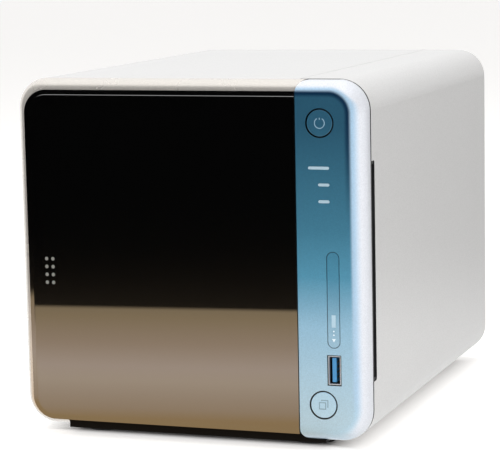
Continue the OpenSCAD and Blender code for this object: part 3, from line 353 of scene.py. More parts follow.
def brushed_group():
    """Brushed or rolled metal: long fine lines along one direction."""
    tree, given, result = start_group(
        "Brushed Lines",
        [("Vector", "Vector"), ("Stretch", "Vector"), ("Roughness", "Float"), ("Spread", "Float")],
        [("Height", "Float"), ("Roughness", "Float"), ("Tone", "Float")])
    stretched = vector_step(tree, "MULTIPLY", given["Vector"], given["Stretch"])[0]
    lines = noise(tree, stretched, 1.0, 4.0)["Fac"]
    offset = minus(tree, lines, 0.5)
    spread = times(tree, offset, given["Spread"])
    plug(tree, result["Height"], lines)
    plug(tree, result["Roughness"], uneven(tree, spread, given["Roughness"]))
    plug(tree, result["Tone"], plus(tree, times(tree, offset, 0.25), 1.0))
    return tree


def spangle_group():
    """Zinc plating: crystals that differ a little in tone and shine."""
    tree, given, result = start_group(
        "Zinc Spangle",
        [("Vector", "Vector"), ("Color", "Color"), ("Scale", "Float"), ("Roughness", "Float")],
        [("Color", "Color"), ("Roughness", "Float")])
    warp = noise(tree, given["Vector"], 90.0)["Color"]
    moved = vector_step(tree, "MULTIPLY_ADD", warp, (0.004, 0.004, 0.004), given["Vector"])[0]
    tone = split(tree, cells(tree, moved, given["Scale"])["Color"])["Y"]
    level = plus(tree, times(tree, tone, 0.16), 0.9)
    plug(tree, result["Color"], scaled(tree, given["Color"], level))
    change = times(tree, minus(tree, tone, 0.5), 0.14)
    plug(tree, result["Roughness"], uneven(tree, change, given["Roughness"]))
    return tree


def fade_group(paint):
    """Control panel colour, which fades from deep blue at the top to pale blue below. The blue is
    the panel's own; the fade is a painted reflection.
    """
    tree, given, result = start_group("Panel Fade", [("Vector", "Vector")], [("Color", "Color")])
    low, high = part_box("control_panel")
    height = add_node(tree, "ShaderNodeMapRange",
                      {"Value": split(tree, given["Vector"])["Z"],
                       "From Min": low.z, "From Max": high.z})
    stops = ((0.06, paint.panel_low), (0.32, paint.panel_lower), (0.46, paint.panel_middle),
             (0.59, paint.panel_upper), (0.88, paint.panel_top))
    plug(tree, result["Color"], colour_ramp(tree, height.outputs["Result"], stops))
    return tree


def place_group(tree, group, inputs):
    """Puts a shared effect into a material."""
    return add_node(tree, "ShaderNodeGroup", inputs, node_tree=group)


class Effects:
    """The shared node groups, built once by main()."""
    grain = flake = brushed = spangle = fade = None


# ---------------------------------------------------------------- finishes

def start_finish(name, colour, roughness, metallic=0.0, coat=0.0, coat_roughness=0.05):
    """A material with one shader. Returns it with its tree and the shader's inputs."""
    material = bpy.data.materials.new(name)
    material.use_nodes = True
    tree = material.node_tree
    tree.nodes.clear()
    shader = add_node(tree, "ShaderNodeBsdfPrincipled",
                      {"Base Color": colour, "Roughness": roughness, "Metallic": metallic,
                       "Coat Weight": coat, "Coat Roughness": coat_roughness})
    output = tree.nodes.new("ShaderNodeOutputMaterial")
    tree.links.new(shader.outputs[0], output.inputs["Surface"])
    return material, tree, shader.inputs


def raise_surface(tree, shader, height, depth):
    """Bumps of the given depth in metres."""
    bump = add_node(tree, "ShaderNodeBump", {"Height": height, "Distance": depth,
                                             "Strength": 1.0})
    plug(tree, shader["Normal"], bump.outputs["Normal"])


def add_skin(tree, shader, place, scale, roughness, spread, depth):
    """Gives a shader the fine bumps and uneven shine of a moulded or painted skin."""
    skin = place_group(tree, Effects.grain, {"Vector": place, "Scale": scale,
                                             "Roughness": roughness, "Spread": spread})
    plug(tree, shader["Roughness"], skin.outputs["Roughness"])
    raise_surface(tree, shader, skin.outputs["Height"], depth)


def add_lines(tree, shader, place, stretch, roughness, spread):
    """Gives a shader the uneven shine of fine lines. Returns their outputs."""
    lines = place_group(tree, Effects.brushed, {"Vector": place, "Stretch": stretch,
                                                "Roughness": roughness, "Spread": spread})
    plug(tree, shader["Roughness"], lines.outputs["Roughness"])
    return lines.outputs


def flaked(tree, place, colour, scale, amount):
    """Colour broken up by metal flakes."""
    return place_group(tree, Effects.flake, {"Vector": place, "Color": colour, "Scale": scale,
                                             "Amount": amount}).outputs["Color"]


def moulded(name, colour, roughness=0.45, scale=1400.0, depth=0.03 * MM, spread=0.12, coat=0.0,
            matt=0.5):
    """Moulded plastic or powder coat with a fine skin. A low matt value shines less."""
    material, tree, shader = start_finish(name, colour, roughness, coat=coat)
    plug(tree, shader["Specular IOR Level"], matt)
    place = object_place(tree)
    tone = noise(tree, place, 45.0)["Fac"]
    level = plus(tree, times(tree, tone, 0.18), 0.91)
    plug(tree, shader["Base Color"], tinted(tree, colour, level))
    add_skin(tree, shader, place, scale, roughness, spread, depth)
    return material


def brushed_metal(name, colour, stretch, roughness=0.3, spread=0.25, depth=0.01 * MM,
                  metallic=1.0):
    """Bare metal with lines that run along the short side of the stretch."""
    material, tree, shader = start_finish(name, colour, roughness, metallic=metallic)
    lines = add_lines(tree, shader, object_place(tree), stretch, roughness, spread)
    plug(tree, shader["Base Color"], tinted(tree, colour, lines["Tone"]))
    raise_surface(tree, shader, lines["Height"], depth)
    return material


def port_shell(name, node, outward):
    """Nickel-plated port shell that gets darker inside, where little light comes in."""
    nickel, unlit = (0.7, 0.75, 0.82), (0.02, 0.021, 0.022)
    material, tree, shader = start_finish(name, nickel, 0.4, metallic=0.5)
    place = object_place(tree)
    lines = add_lines(tree, shader, place, (60, 1500, 60), 0.4, 0.15)
    low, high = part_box(node)
    mouth = low.y if outward < 0 else high.y
    depth = ease(tree, split(tree, place)["Y"], mouth - outward * 0.2 * MM,
                 mouth - outward * 2.2 * MM)
    plated = tinted(tree, nickel, lines["Tone"])
    plug(tree, shader["Base Color"], mix_colour(tree, depth, plated, unlit))
    raise_surface(tree, shader, lines["Height"], 0.01 * MM)
    return material


def zinc_sheet(name, colour):
    """Plated sheet steel."""
    crystal_scale, roughness = 220.0, 0.34
    material, tree, shader = start_finish(name, colour, roughness, metallic=0.9)
    place = object_place(tree)
    spangle = place_group(tree, Effects.spangle, {"Vector": place, "Color": colour,
                                                  "Scale": crystal_scale, "Roughness": roughness})
    plug(tree, shader["Base Color"], spangle.outputs["Color"])
    plug(tree, shader["Roughness"], spangle.outputs["Roughness"])
    raise_surface(tree, shader, noise(tree, place, 1800.0)["Fac"], 0.008 * MM)
    return material


def painted_edge_shade(tree, place):
    """Painted shade on the unlit ends of the right cover: along its front edge and round its air
    slot.
    """
    low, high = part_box("right_cover")
    axis = split(tree, place)
    front = ease(tree, axis["Y"], low.y + 0.3 * MM, low.y + 0.15 * MM)
    behind = ease(tree, axis["Y"], low.y + SLOT_WIDTH + 0.15 * MM, low.y + SLOT_WIDTH + 0.05 * MM)
    middle = (low.z + high.z) / 2 - SLOT_DROP
    rise = apart(tree, axis["Z"], middle)
    reach = SLOT_HEIGHT / 2 + 0.1 * MM
    beside = ease(tree, rise, reach + 0.1 * MM, reach)
    outside = ease(tree, axis["X"], high.x - 0.03 * MM, high.x - 0.08 * MM)
    return highest(tree, front, times(tree, behind, beside, outside))


def satin_paint(name, colour, metallic, roughness, coat=0.25, edges=False):
    """Satin silver paint with fine metal flakes under a thin clear coat. With edges set, the right
    cover's unlit ends get painted shade.
    """
    material, tree, shader = start_finish(name, colour, roughness, metallic, coat, 0.22)
    place = object_place(tree)
    painted = flaked(tree, place, colour, 2600.0, 0.10)
    if edges:
        unlit = painted_edge_shade(tree, place)
        painted = mix_colour(tree, unlit, painted, PAINTED_SHADE)
        plug(tree, shader["Coat Weight"], times(tree, minus(tree, 1.0, unlit), coat))
    plug(tree, shader["Base Color"], painted)
    add_skin(tree, shader, place, 900.0, roughness, 0.08, 0.02 * MM)
    return material


def button_gap_shade(tree, place, button, inner, outer):
    """Painted shade on the wall of the gap round a button: 1 beyond the outer radius, 0 within the
    inner one.
    """
    middle = centre(button)
    flat = vector_step(tree, "MULTIPLY", place, (1, 0, 1))[0]
    away = vector_step(tree, "DISTANCE", flat, (middle.x, 0, middle.z))["Value"]
    return ease(tree, away, inner, outer)


def window_seam_shade(tree, axis):
    """Painted shade in the seam round the progress window: 1 against the glass, 0 beyond 0.45 mm.
    """
    low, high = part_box("progress_lens")
    middle = (low + high) / 2
    radius = (high.x - low.x) / 2
    aside = minus(tree, axis["X"], middle.x)
    along = apart(tree, axis["Z"], middle.z)
    beyond = minus(tree, along, (high.z - low.z) / 2 - radius)
    away = reach_of(tree, aside, highest(tree, beyond, 0))
    glass = radius - WINDOW_FLANGE
    return ease(tree, away, glass + 0.45 * MM, glass + 0.3 * MM)


def panel_finish(paint):
    """Blue metallic face that fades downwards, inside a silver rounding. The fade is a painted
    reflection, the silver and its pale blue band are partly a painted highlight, and the gaps and a
    line inside the rim at the top are painted shade.
    """
    material, tree, shader = start_finish("Panel Paint", paint.panel_middle, 0.34, 0.25, 0.6, 0.08)
    place = object_place(tree)
    axis = split(tree, place)
    low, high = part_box("control_panel")

    # distance past the edge of the blue face, a rectangle with round corners
    right = minus(tree, axis["X"], high.x - RIM_SIDE - RIM_CORNER)
    above = minus(tree, axis["Z"], high.z - RIM_TOP - RIM_CORNER)
    below = minus(tree, low.z + RIM_FOOT + RIM_CORNER, axis["Z"])
    upright = highest(tree, above, below, 0)
    away = reach_of(tree, highest(tree, right, 0), upright)
    past = minus(tree, away, RIM_CORNER)

    # the rim is sharper at the top and softer towards the foot
    foot = ease(tree, axis["Z"], low.z + 26 * MM, low.z + 4 * MM)
    blend = plus(tree, times(tree, foot, 2.2 * MM), 0.9 * MM)
    rim = ease(tree, past, times(tree, blend, -1), blend)
    # the silver, with its painted highlight, is weaker along the foot, away from the right edge
    level = ease(tree, below, 2 * MM, RIM_CORNER)
    inward = ease(tree, axis["X"], high.x - 3 * MM, high.x - 14 * MM)
    soft = times(tree, level, inward, -0.7)
    crown = plus(tree, ease(tree, above, 4 * MM, RIM_CORNER), 1.0)
    silver = times(tree, ease(tree, times(tree, past, crown), 1.2 * MM, 4.8 * MM),
                   plus(tree, soft, 1.0))
    # painted shade: a dark line just inside the rim, on the upper part of the panel
    upper = ease(tree, axis["Z"], high.z - 70 * MM, high.z - 12 * MM)
    shade = times(tree, ease(tree, past, -3.2 * MM, -1.2 * MM), upper)

    fade = place_group(tree, Effects.fade, {"Vector": place})
    deep = mix_colour(tree, shade, fade.outputs["Color"], paint.panel_painted_shade)
    tint = mix_colour(tree, foot, paint.rim_highlight_tint, paint.panel_low)
    edging = mix_colour(tree, silver, tint, paint.rim)
    colour = mix_colour(tree, rim, deep, edging)
    painted = flaked(tree, place, colour, 3200.0, 0.14)

    # painted shade on the walls of the openings, round the front port's mouth, on the edge against
    # the right cover, and in the window's seam
    hole = CAP_RADIUS + CAP_GAP
    walls = [button_gap_shade(tree, place, button, hole + 0.12 * MM, hole + 0.02 * MM)
             for button in ("power_button", "copy_button")]
    walls.append(ease(tree, axis["Y"], high.y - 0.45 * MM, high.y - 0.3 * MM))
    walls.append(times(tree, window_seam_shade(tree, axis), 0.6))
    mouth = []
    for letter, half in USB_MOUTH:
        middle = getattr(centre("front_usb_shell"), letter.lower())
        away = apart(tree, axis[letter], middle)
        mouth.append(ease(tree, away, half + 0.22 * MM, half + 0.08 * MM))
    walls.append(times(tree, *mouth))
    gaps = highest(tree, *walls)
    plug(tree, shader["Base Color"], mix_colour(tree, gaps, painted, PAINTED_SHADE))
    add_skin(tree, shader, place, 1100.0, 0.34, 0.06, 0.01 * MM)
    return material


def fade_finish(name, lift, roughness, coat, button=None):
    """A small part in the control panel's colour with its painted reflection, a little lighter or
    darker. A button's cap also gets painted shade on the wall of its gap.
    """
    material, tree, shader = start_finish(name, (0.2, 0.4, 0.5), roughness, 0.2, coat, 0.08)
    place = object_place(tree)
    fade = place_group(tree, Effects.fade, {"Vector": place})
    colour = tinted(tree, fade.outputs["Color"], (lift, lift, lift))
    painted = flaked(tree, place, colour, 3200.0, 0.12)
    if button:
        # painted shade on the cap's side wall, in its gap
        wall = button_gap_shade(tree, place, button, CAP_RADIUS - 0.1 * MM, CAP_RADIUS - 0.02 * MM)
        painted = mix_colour(tree, wall, painted, PAINTED_SHADE)
    plug(tree, shader["Base Color"], painted)
    add_skin(tree, shader, place, 1100.0, roughness, 0.06, 0.008 * MM)
    return material


def door_finish(paint):
    """Piano-black plastic under a hard clear coat, with faint polishing marks."""
    material, tree, shader = start_finish("Door Gloss", paint.door, 0.2, coat=1.0,
                                          coat_roughness=0.015)
    plug(tree, shader["Coat IOR"], 3.2)
    place = object_place(tree)
    add_lines(tree, shader, place, (900, 900, 30), 0.2, 0.1)
    speck = calculate(tree, "LESS_THAN", cells(tree, place, 240.0)["Distance"], 0.035)
    plug(tree, shader["Base Color"], mix_colour(tree, speck, paint.door, (0.03, 0.03, 0.03)))
    return material


def circuit_board(name, colour):
    """Solder mask over copper tracks, pads and plated holes."""
    material, tree, shader = start_finish(name, colour, 0.35, coat=0.4, coat_roughness=0.15)
    place = object_place(tree)
    patches = split(tree, cells(tree, place, 70.0, distance="MANHATTAN")["Color"])
    region = calculate(tree, "GREATER_THAN", patches["X"], 0.45)
    tracks, rows = [add_node(tree, "ShaderNodeTexWave", {"Vector": place, "Scale": 260.0},
                             bands_direction=letter).outputs["Fac"] for letter in "ZY"]
    lines = mix_colour(tree, region, tracks, rows)
    copper = calculate(tree, "GREATER_THAN", split(tree, lines)["X"], 0.62)
    lighter = tuple(min(1, v * 1.8 + 0.01) for v in colour)
    masked = mix_colour(tree, copper, colour, lighter)
    pad = calculate(tree, "LESS_THAN", cells(tree, place, 240.0)["Distance"], 0.16)
    plug(tree, shader["Base Color"], mix_colour(tree, pad, masked, (0.62, 0.55, 0.36)))
    plug(tree, shader["Metallic"], times(tree, pad, 0.8))
    raise_surface(tree, shader, copper, 0.02 * MM)
    return material


def drive_finish():
    """Cast and slightly stained drive body."""
    casting = (0.42, 0.43, 0.44)
    material, tree, shader = start_finish("Drive Casting", casting, 0.42, metallic=0.9)
    place = object_place(tree)
    cast = noise(tree, place, 700.0, 5.0)["Fac"]
    stained = noise(tree, place, 60.0, 3.0)["Fac"]
    level = plus(tree, times(tree, stained, 0.3), 0.85)
    plug(tree, shader["Base Color"], tinted(tree, casting, level))
    plug(tree, shader["Roughness"], plus(tree, times(tree, cast, 0.3), 0.28))
    raise_surface(tree, shader, cast, 0.05 * MM)
    return material


def foot_finish():
    """Soft rubber with rings pressed round the middle of each foot."""
    material, tree, shader = start_finish("Foot Rubber", (0.022, 0.022, 0.023), 0.82)
    place = object_place(tree)
    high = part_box("rubber_feet")[1]
    foot_radius = 9 * MM
    middle = (high.x - foot_radius, high.y - foot_radius, 0)
    folded = vector_step(tree, "ABSOLUTE", place)[0]
    flat = vector_step(tree, "MULTIPLY", folded, (1, 1, 0))[0]
    away = vector_step(tree, "DISTANCE", flat, middle)["Value"]
    rings = calculate(tree, "SINE", times(tree, away, 4200.0))
    speckle = noise(tree, place, 1500.0)["Fac"]
    height = plus(tree, rings, times(tree, speckle, 0.5))
    level = plus(tree, times(tree, speckle, 0.3), 0.7)
    plug(tree, shader["Base Color"], tinted(tree, (0.03, 0.03, 0.031), level))
    raise_surface(tree, shader, height, 0.1 * MM)
    return material


def ink(name, colour):
    """Printed ink, slightly uneven."""
    return moulded(name, colour, roughness=0.4, scale=3000.0, depth=0.004 * MM, spread=0.05)


def dress(material, *nodes):
    """Gives frame nodes their finish."""
    for node in nodes:
        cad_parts[node].material_slots[0].material = material


# ---------------------------------------------------------------- mesh helpers

def add_piece(name, bm, material, body):
    """Turns a mesh into a piece that moves with a body of the frame."""
    bmesh.ops.recalc_face_normals(bm, faces=bm.faces)
    mesh = bpy.data.meshes.new(name)
    bm.to_mesh(mesh)
    bm.free()
    mesh.materials.append(material)
    piece = bpy.data.objects.new(name, mesh)
    bpy.context.scene.collection.objects.link(piece)
    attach(piece, body)


def add_block(bm, low, high, rounding=0.0, turn=None):
    """Block between two corners, with rounded edges, turned about its middle."""
    low, high = Vector(low), Vector(high)
    made = bmesh.ops.create_cube(bm, size=1)["verts"]
    bmesh.ops.scale(bm, vec=high - low, verts=made)
    if rounding:
        edges = list({edge for vert in made for edge in vert.link_edges})
        made = bmesh.ops.bevel(bm, geom=edges, offset=rounding, offset_type="OFFSET", segments=2,
                               profile=0.5, affect="EDGES", material=-1)["verts"]
    if turn:
        bmesh.ops.transform(bm, matrix=turn, verts=made)
    bmesh.ops.translate(bm, vec=(low + high) / 2, verts=made)


def add_disc(bm, middle, diameter, thickness, segments=24):
    """Round plate whose axis runs from front to rear."""
    made = bmesh.ops.create_cone(bm, cap_ends=True, segments=segments, radius1=diameter / 2,
                                 radius2=diameter / 2, depth=thickness)["verts"]
    bmesh.ops.rotate(bm, cent=(0, 0, 0), matrix=Matrix.Rotation(math.pi / 2, 3, "X"), verts=made)
    bmesh.ops.translate(bm, vec=middle, verts=made)


def add_arc(bm, middle, radius, line, thickness, start, sweep, steps=40):
    """Part of a flat ring, made by spinning its square section about the Y axis."""
    grid = bmesh.ops.create_grid(bm, x_segments=1, y_segments=1, size=0.5)["verts"]
    bmesh.ops.scale(bm, vec=(line, thickness, 1), verts=grid)
    bmesh.ops.translate(bm, vec=(radius, 0, 0), verts=grid)
    face = grid[0].link_faces[0]
    bmesh.ops.rotate(bm, cent=(0, 0, 0), matrix=Matrix.Rotation(start, 3, "Y"), verts=grid)
    existing = set(bm.verts) - set(grid)
    section = [face, *face.edges, *face.verts]
    bmesh.ops.spin(bm, geom=section, cent=(0, 0, 0), axis=(0, 1, 0), angle=sweep, steps=steps,
                   use_merge=False)
    made = [vert for vert in bm.verts if vert not in existing]
    bmesh.ops.translate(bm, vec=middle, verts=made)


# ---------------------------------------------------------------- finish operators

class STORAGE_OT_cover_finish(bpy.types.Operator):
    """Paint the two outer covers and the bezel"""
    bl_idname = "storage.cover_finish"
    bl_label = "Paint Covers"

    def execute(self, context):
        paint = context.scene.storage_paint
        dress(satin_paint("Cover Paint", paint.cover, 0.22, 0.40), "left_shell")
        # painted shade on the right cover's front edge and round the ends of its air slot
        dress(satin_paint("Right Cover Paint", paint.cover, 0.22, 0.40, edges=True), "right_cover")
        dress(satin_paint("Bezel Paint", paint.bezel, 0.55, 0.27, coat=0.5), "front_bezel")
        return {"FINISHED"}


class STORAGE_OT_front_finish(bpy.types.Operator):
    """Finish the door, the control panel and what shows on it"""
    bl_idname = "storage.front_finish"
    bl_label = "Finish Front"

    def execute(self, context):
        paint = context.scene.storage_paint
        dress(door_finish(paint), "door_panel")
        dress(moulded("Inner Frame Plastic", (0.012, 0.012, 0.013), 0.5), "front_frame",
              "door_carrier")
        dress(panel_finish(paint), "control_panel")
        for button in ("power_button", "copy_button"):
            dress(fade_finish(button.replace("_", " ").title(), 1.04, 0.34, 0.5, button), button)
        dress(fade_finish("Progress Window", 0.93, 0.22, 0.9), "progress_lens")
        dress(moulded("Light Pipe", srgb(165, 190, 203), 0.3, depth=0.006 * MM, coat=0.4),
              "status_lenses")
        dress(brushed_metal("Grip Dots", (0.33, 0.345, 0.33), (4000, 40, 4000), 0.5,
                            metallic=0.55), "grip_dots")
        return {"FINISHED"}


class STORAGE_OT_bay_finish(bpy.types.Operator):
    """Finish the cage, the trays and the drives"""
    bl_idname = "storage.bay_finish"
    bl_label = "Finish Bays"

    def execute(self, context):
        rows = range(1, 5)
        dress(zinc_sheet("Zinc Sheet", (0.62, 0.63, 0.64)), "drive_cage", "latch_bars")
        dress(moulded("Tray Plastic", (0.016, 0.016, 0.017), 0.46), "bay_guides",
              *[f"tray_{k}" for k in rows])
        dress(moulded("Lever Plastic", (0.10, 0.105, 0.11), 0.36, coat=0.1),
              *[f"lever_{k}" for k in rows])
        dress(moulded("Retainer Plastic", (0.23, 0.235, 0.24), 0.42),
              *[f"retainers_{k}" for k in rows])
        dress(drive_finish(), *[f"drive_{k}" for k in rows])
        return {"FINISHED"}


class STORAGE_OT_board_finish(bpy.types.Operator):
    """Finish the circuit boards and their parts"""
    bl_idname = "storage.board_finish"
    bl_label = "Finish Boards"

    def execute(self, context):
        dress(circuit_board("Board Mask", (0.018, 0.10, 0.045)), "mainboard", "backplane",
              "front_board", "memory_modules")
        dress(moulded("Chip Resin", (0.02, 0.02, 0.022), 0.5, scale=2200.0), "board_parts")
        dress(brushed_metal("Heatsink Metal", (0.66, 0.67, 0.69), (900, 900, 30), 0.35),
              "cpu_heatsink")
        dress(brushed_metal("Cell Steel", (0.70, 0.70, 0.69), (1200, 40, 1200), 0.22),
              "coin_cell")
        dress(moulded("Socket Plastic", (0.02, 0.02, 0.02), 0.4), "memory_sockets",
              "sata_sockets")
        return {"FINISHED"}


class STORAGE_OT_port_finish(bpy.types.Operator):
    """Finish the ports at the front and the rear"""
    bl_idname = "storage.port_finish"
    bl_label = "Finish Ports"

    def execute(self, context):
        dress(port_shell("Front Nickel", "front_usb_shell", -1), "front_usb_shell")
        dress(port_shell("Rear Nickel", "rear_usb_shells", 1), "rear_usb_shells", "hdmi_port",
              "lan_jacks")
        dress(moulded("Fast Port Plastic", (0.05, 0.27, 0.54), 0.32, depth=0.01 * MM, coat=0.3),
              "front_usb_tongue", "rear_usb_tongues")
        dress(moulded("Port Plastic", (0.015, 0.015, 0.016), 0.4), "dc_inlet", "reset_button")
        return {"FINISHED"}


class STORAGE_OT_rear_finish(bpy.types.Operator):
    """Finish the back panel, the fan and the screws"""
    bl_idname = "storage.rear_finish"
    bl_label = "Finish Rear"

    def execute(self, context):
        dress(moulded("Back Powder Coat", (0.50, 0.50, 0.495), 0.5, scale=800.0,
                      depth=0.06 * MM, spread=0.1), "back_panel")
        dress(moulded("Fan Plastic", (0.017, 0.017, 0.018), 0.34, depth=0.02 * MM),
              "fan_frame", "fan_rotor")
        dress(brushed_metal("Screw Steel", (0.52, 0.52, 0.53), (900, 900, 900), 0.3),
              "fan_screws", "case_screws")
        dress(moulded("Lead Jacket", (0.016, 0.016, 0.016), 0.38, depth=0.01 * MM), "fan_lead")
        return {"FINISHED"}


class STORAGE_OT_base_finish(bpy.types.Operator):
    """Finish the base rails and the rubber feet"""
    bl_idname = "storage.base_finish"
    bl_label = "Finish Base"

    def execute(self, context):
        dress(moulded("Base Plastic", (0.004, 0.0035, 0.003), 0.7, matt=0.15), "foot_rails")
        dress(foot_finish(), "rubber_feet")
        return {"FINISHED"}


# ---------------------------------------------------------------- piece operators

class STORAGE_OT_power_mark(bpy.types.Operator):
    """Print the ring and bar on the power button"""
    bl_idname = "storage.power_mark"
    bl_label = "Power Mark"

    def execute(self, context):
        marks = context.scene.storage_marks
        middle = centre("power_button")
        middle.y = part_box("power_button")[0].y - PRINT_DEPTH / 2
        bm = bmesh.new()
        start = math.pi * 1.5 + marks.ring_gap / 2
        add_arc(bm, middle, marks.ring, marks.line, PRINT_DEPTH, start,
                math.tau - marks.ring_gap)
        bar = middle + Vector((0, 0, marks.ring * 0.86))
        half = Vector((marks.line / 2, PRINT_DEPTH / 2, 0.45 * MM))
        add_block(bm, bar - half, bar + half)
        add_piece("power_mark", bm, ink("Pale Ink", context.scene.storage_paint.pale_print),
                  "power_button")
        return {"FINISHED"}


class STORAGE_OT_copy_mark(bpy.types.Operator):
    """Print two overlapping sheets on the copy button, one partly behind the other"""
    bl_idname = "storage.copy_mark"
    bl_label = "Copy Mark"

    def execute(self, context):
        marks = context.scene.storage_marks
        middle = centre("copy_button")
        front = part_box("copy_button")[0].y
        side, line, shift = marks.sheet, marks.line * 1.3, marks.sheet_shift
        left = middle.x - (side + shift) / 2
        foot = middle.z - (side + shift) / 2 + 0.2 * MM
        strips = [(0, 0, side, line), (0, side - line, side, side), (0, line, line, side - line),
                  (side - line, line, side, side - line),
                  (shift, side + shift - line, side + shift, side + shift),
                  (side + shift - line, shift, side + shift, side + shift - line),
                  (side + line, shift, side + shift - line, shift + line),
                  (shift, side + line, shift + line, side + shift - line)]
        bm = bmesh.new()
        for x0, z0, x1, z1 in strips:
            add_block(bm, (left + x0, front - PRINT_DEPTH, foot + z0),
                      (left + x1, front, foot + z1))
        add_piece("copy_mark", bm, ink("Dark Ink", context.scene.storage_paint.dark_print),
                  "copy_button")
        return {"FINISHED"}


class STORAGE_OT_progress_marks(bpy.types.Operator):
    """Print the dots, bar and arrow at the foot of the progress window"""
    bl_idname = "storage.progress_marks"
    bl_label = "Progress Marks"

    def execute(self, context):
        marks = context.scene.storage_marks
        low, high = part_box("progress_lens")
        x = (low.x + high.x) / 2
        front = low.y - PRINT_DEPTH / 2
        foot = low.z + (high.z - low.z) * 0.1
        bar_height = 5.6 * MM
        bm = bmesh.new()
        radius = marks.arrow / 1.73
        tip = bmesh.ops.create_cone(bm, cap_ends=True, segments=3, radius1=radius,
                                    radius2=radius, depth=PRINT_DEPTH)["verts"]
        bmesh.ops.rotate(bm, cent=(0, 0, 0), verts=tip,
                         matrix=Matrix.Rotation(math.pi / 2, 3, "X")
                         @ Matrix.Rotation(math.pi, 3, "Z"))
        bmesh.ops.translate(bm, vec=(x, front, foot + marks.arrow * 0.1), verts=tip)
        for k in (1, 2):
            add_disc(bm, (x, front, foot + (k + 0.45) * marks.dot_pitch), marks.dot, PRINT_DEPTH)
        bar = bmesh.new()
        bar_low = foot + 3.5 * marks.dot_pitch
        add_block(bar, (x - marks.bar / 2, low.y - PRINT_DEPTH, bar_low),
                  (x + marks.bar / 2, low.y, bar_low + bar_height))
        add_piece("progress_bar", bar, ink("Faint Window Ink", srgb(172, 200, 215)), "housing")
        add_piece("progress_marks", bm, ink("Window Ink", srgb(226, 238, 244)), "housing")
        return {"FINISHED"}


class STORAGE_OT_usb_contacts(bpy.types.Operator):
    """Fit four flat contacts to the tongue of the front universal port"""
    bl_idname = "storage.usb_contacts"
    bl_label = "Port Contacts"

    def execute(self, context):
        count, pitch, half_width = 4, 2.3 * MM, 0.5 * MM
        low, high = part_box("front_usb_tongue")
        middle = (low.z + high.z) / 2
        bm = bmesh.new()
        for k in range(count):
            z = middle + (k - (count - 1) / 2) * pitch
            add_block(bm, (high.x - INLAY_DEPTH, low.y + 0.9 * MM, z - half_width),
                      (high.x + INLAY_DEPTH, low.y + 6.5 * MM, z + half_width), 0.02 * MM)
        # gold made darker and rougher than the socket contacts
        darkened_gold = brushed_metal("Worn Contact Gold", (0.30, 0.25, 0.15), (1400, 60, 1400), 0.4, 0.1)
        add_piece("front_usb_contacts", bm, darkened_gold, "housing")
        return {"FINISHED"}


class STORAGE_OT_network_contacts(bpy.types.Operator):
    """Fit the wires and lamps of the two network sockets"""
    bl_idname = "storage.network_contacts"
    bl_label = "Network Socket Contacts"

    def execute(self, context):
        wire_count, wire_pitch, half_wire = 8, 1.02 * MM, 0.22 * MM
        half_socket = 8 * MM
        low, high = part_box("lan_jacks")
        wires = bmesh.new()
        lamps = bmesh.new()
        for z in (low.z + half_socket, high.z - half_socket):
            for k in range(wire_count):
                place = z + (k - (wire_count - 1) / 2) * wire_pitch
                add_block(wires, (high.x - 3.3 * MM, high.y - 12 * MM, place - half_wire),
                          (high.x - 2.9 * MM, high.y - 2.5 * MM, place + half_wire), 0,
                          Matrix.Rotation(math.radians(-9), 4, "Z"))
            for side in (-1, 1):
                lamp = z + side * 5.3 * MM
                add_block(lamps, (low.x + 0.7 * MM, high.y - 0.4 * MM, lamp - 1.5 * MM),
                          (low.x + 2.3 * MM, high.y + 0.08 * MM, lamp + 1.5 * MM), 0.06 * MM)
        gold = brushed_metal("Contact Gold", (0.83, 0.62, 0.26), (1400, 60, 1400), 0.22, 0.1)
        add_piece("network_wires", wires, gold, "housing")
        add_piece("network_lamps", lamps,
                  moulded("Lamp Lens", (0.55, 0.62, 0.38), 0.2, depth=0.005 * MM, coat=0.6),
                  "housing")
        return {"FINISHED"}


class STORAGE_OT_display_contacts(bpy.types.Operator):
    """Fit the contact blade of the display socket"""
    bl_idname = "storage.display_contacts"
    bl_label = "Display Socket Blade"

    def execute(self, context):
        low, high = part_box("hdmi_port")
        middle = (low.z + high.z) / 2
        blade = bmesh.new()
        add_block(blade, (low.x + 2.54 * MM, high.y - 9.9 * MM, middle - 5.56 * MM),
                  (low.x + 3.66 * MM, high.y - 0.94 * MM, middle + 5.56 * MM), 0.05 * MM)
        add_piece("display_blade", blade, moulded("Blade Plastic", (0.015, 0.015, 0.016), 0.4),
                  "housing")
        return {"FINISHED"}


class STORAGE_OT_power_pin(bpy.types.Operator):
    """Fit the plated tip of the power inlet's pin"""
    bl_idname = "storage.power_pin"
    bl_label = "Power Inlet Pin"

    def execute(self, context):
        low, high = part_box("dc_inlet")
        diameter, length = 2.1 * MM, 9.1 * MM
        bm = bmesh.new()
        middle = ((low.x + high.x) / 2, high.y - 5.3 * MM, (low.z + high.z) / 2)
        add_disc(bm, middle, diameter, length, 32)
        rim = [edge for edge in bm.edges if edge.calc_length() < 0.5 * MM
               and edge.verts[0].co.y > middle[1]]
        bmesh.ops.bevel(bm, geom=rim, offset=0.35 * MM, offset_type="OFFSET", segments=3,
                        profile=0.5, affect="EDGES", material=-1)
        add_piece("power_pin", bm,
                  brushed_metal("Pin Nickel", (0.72, 0.71, 0.69), (900, 60, 900), 0.2, 0.1),
                  "housing")
        return {"FINISHED"}


# ---------------------------------------------------------------- stage operator

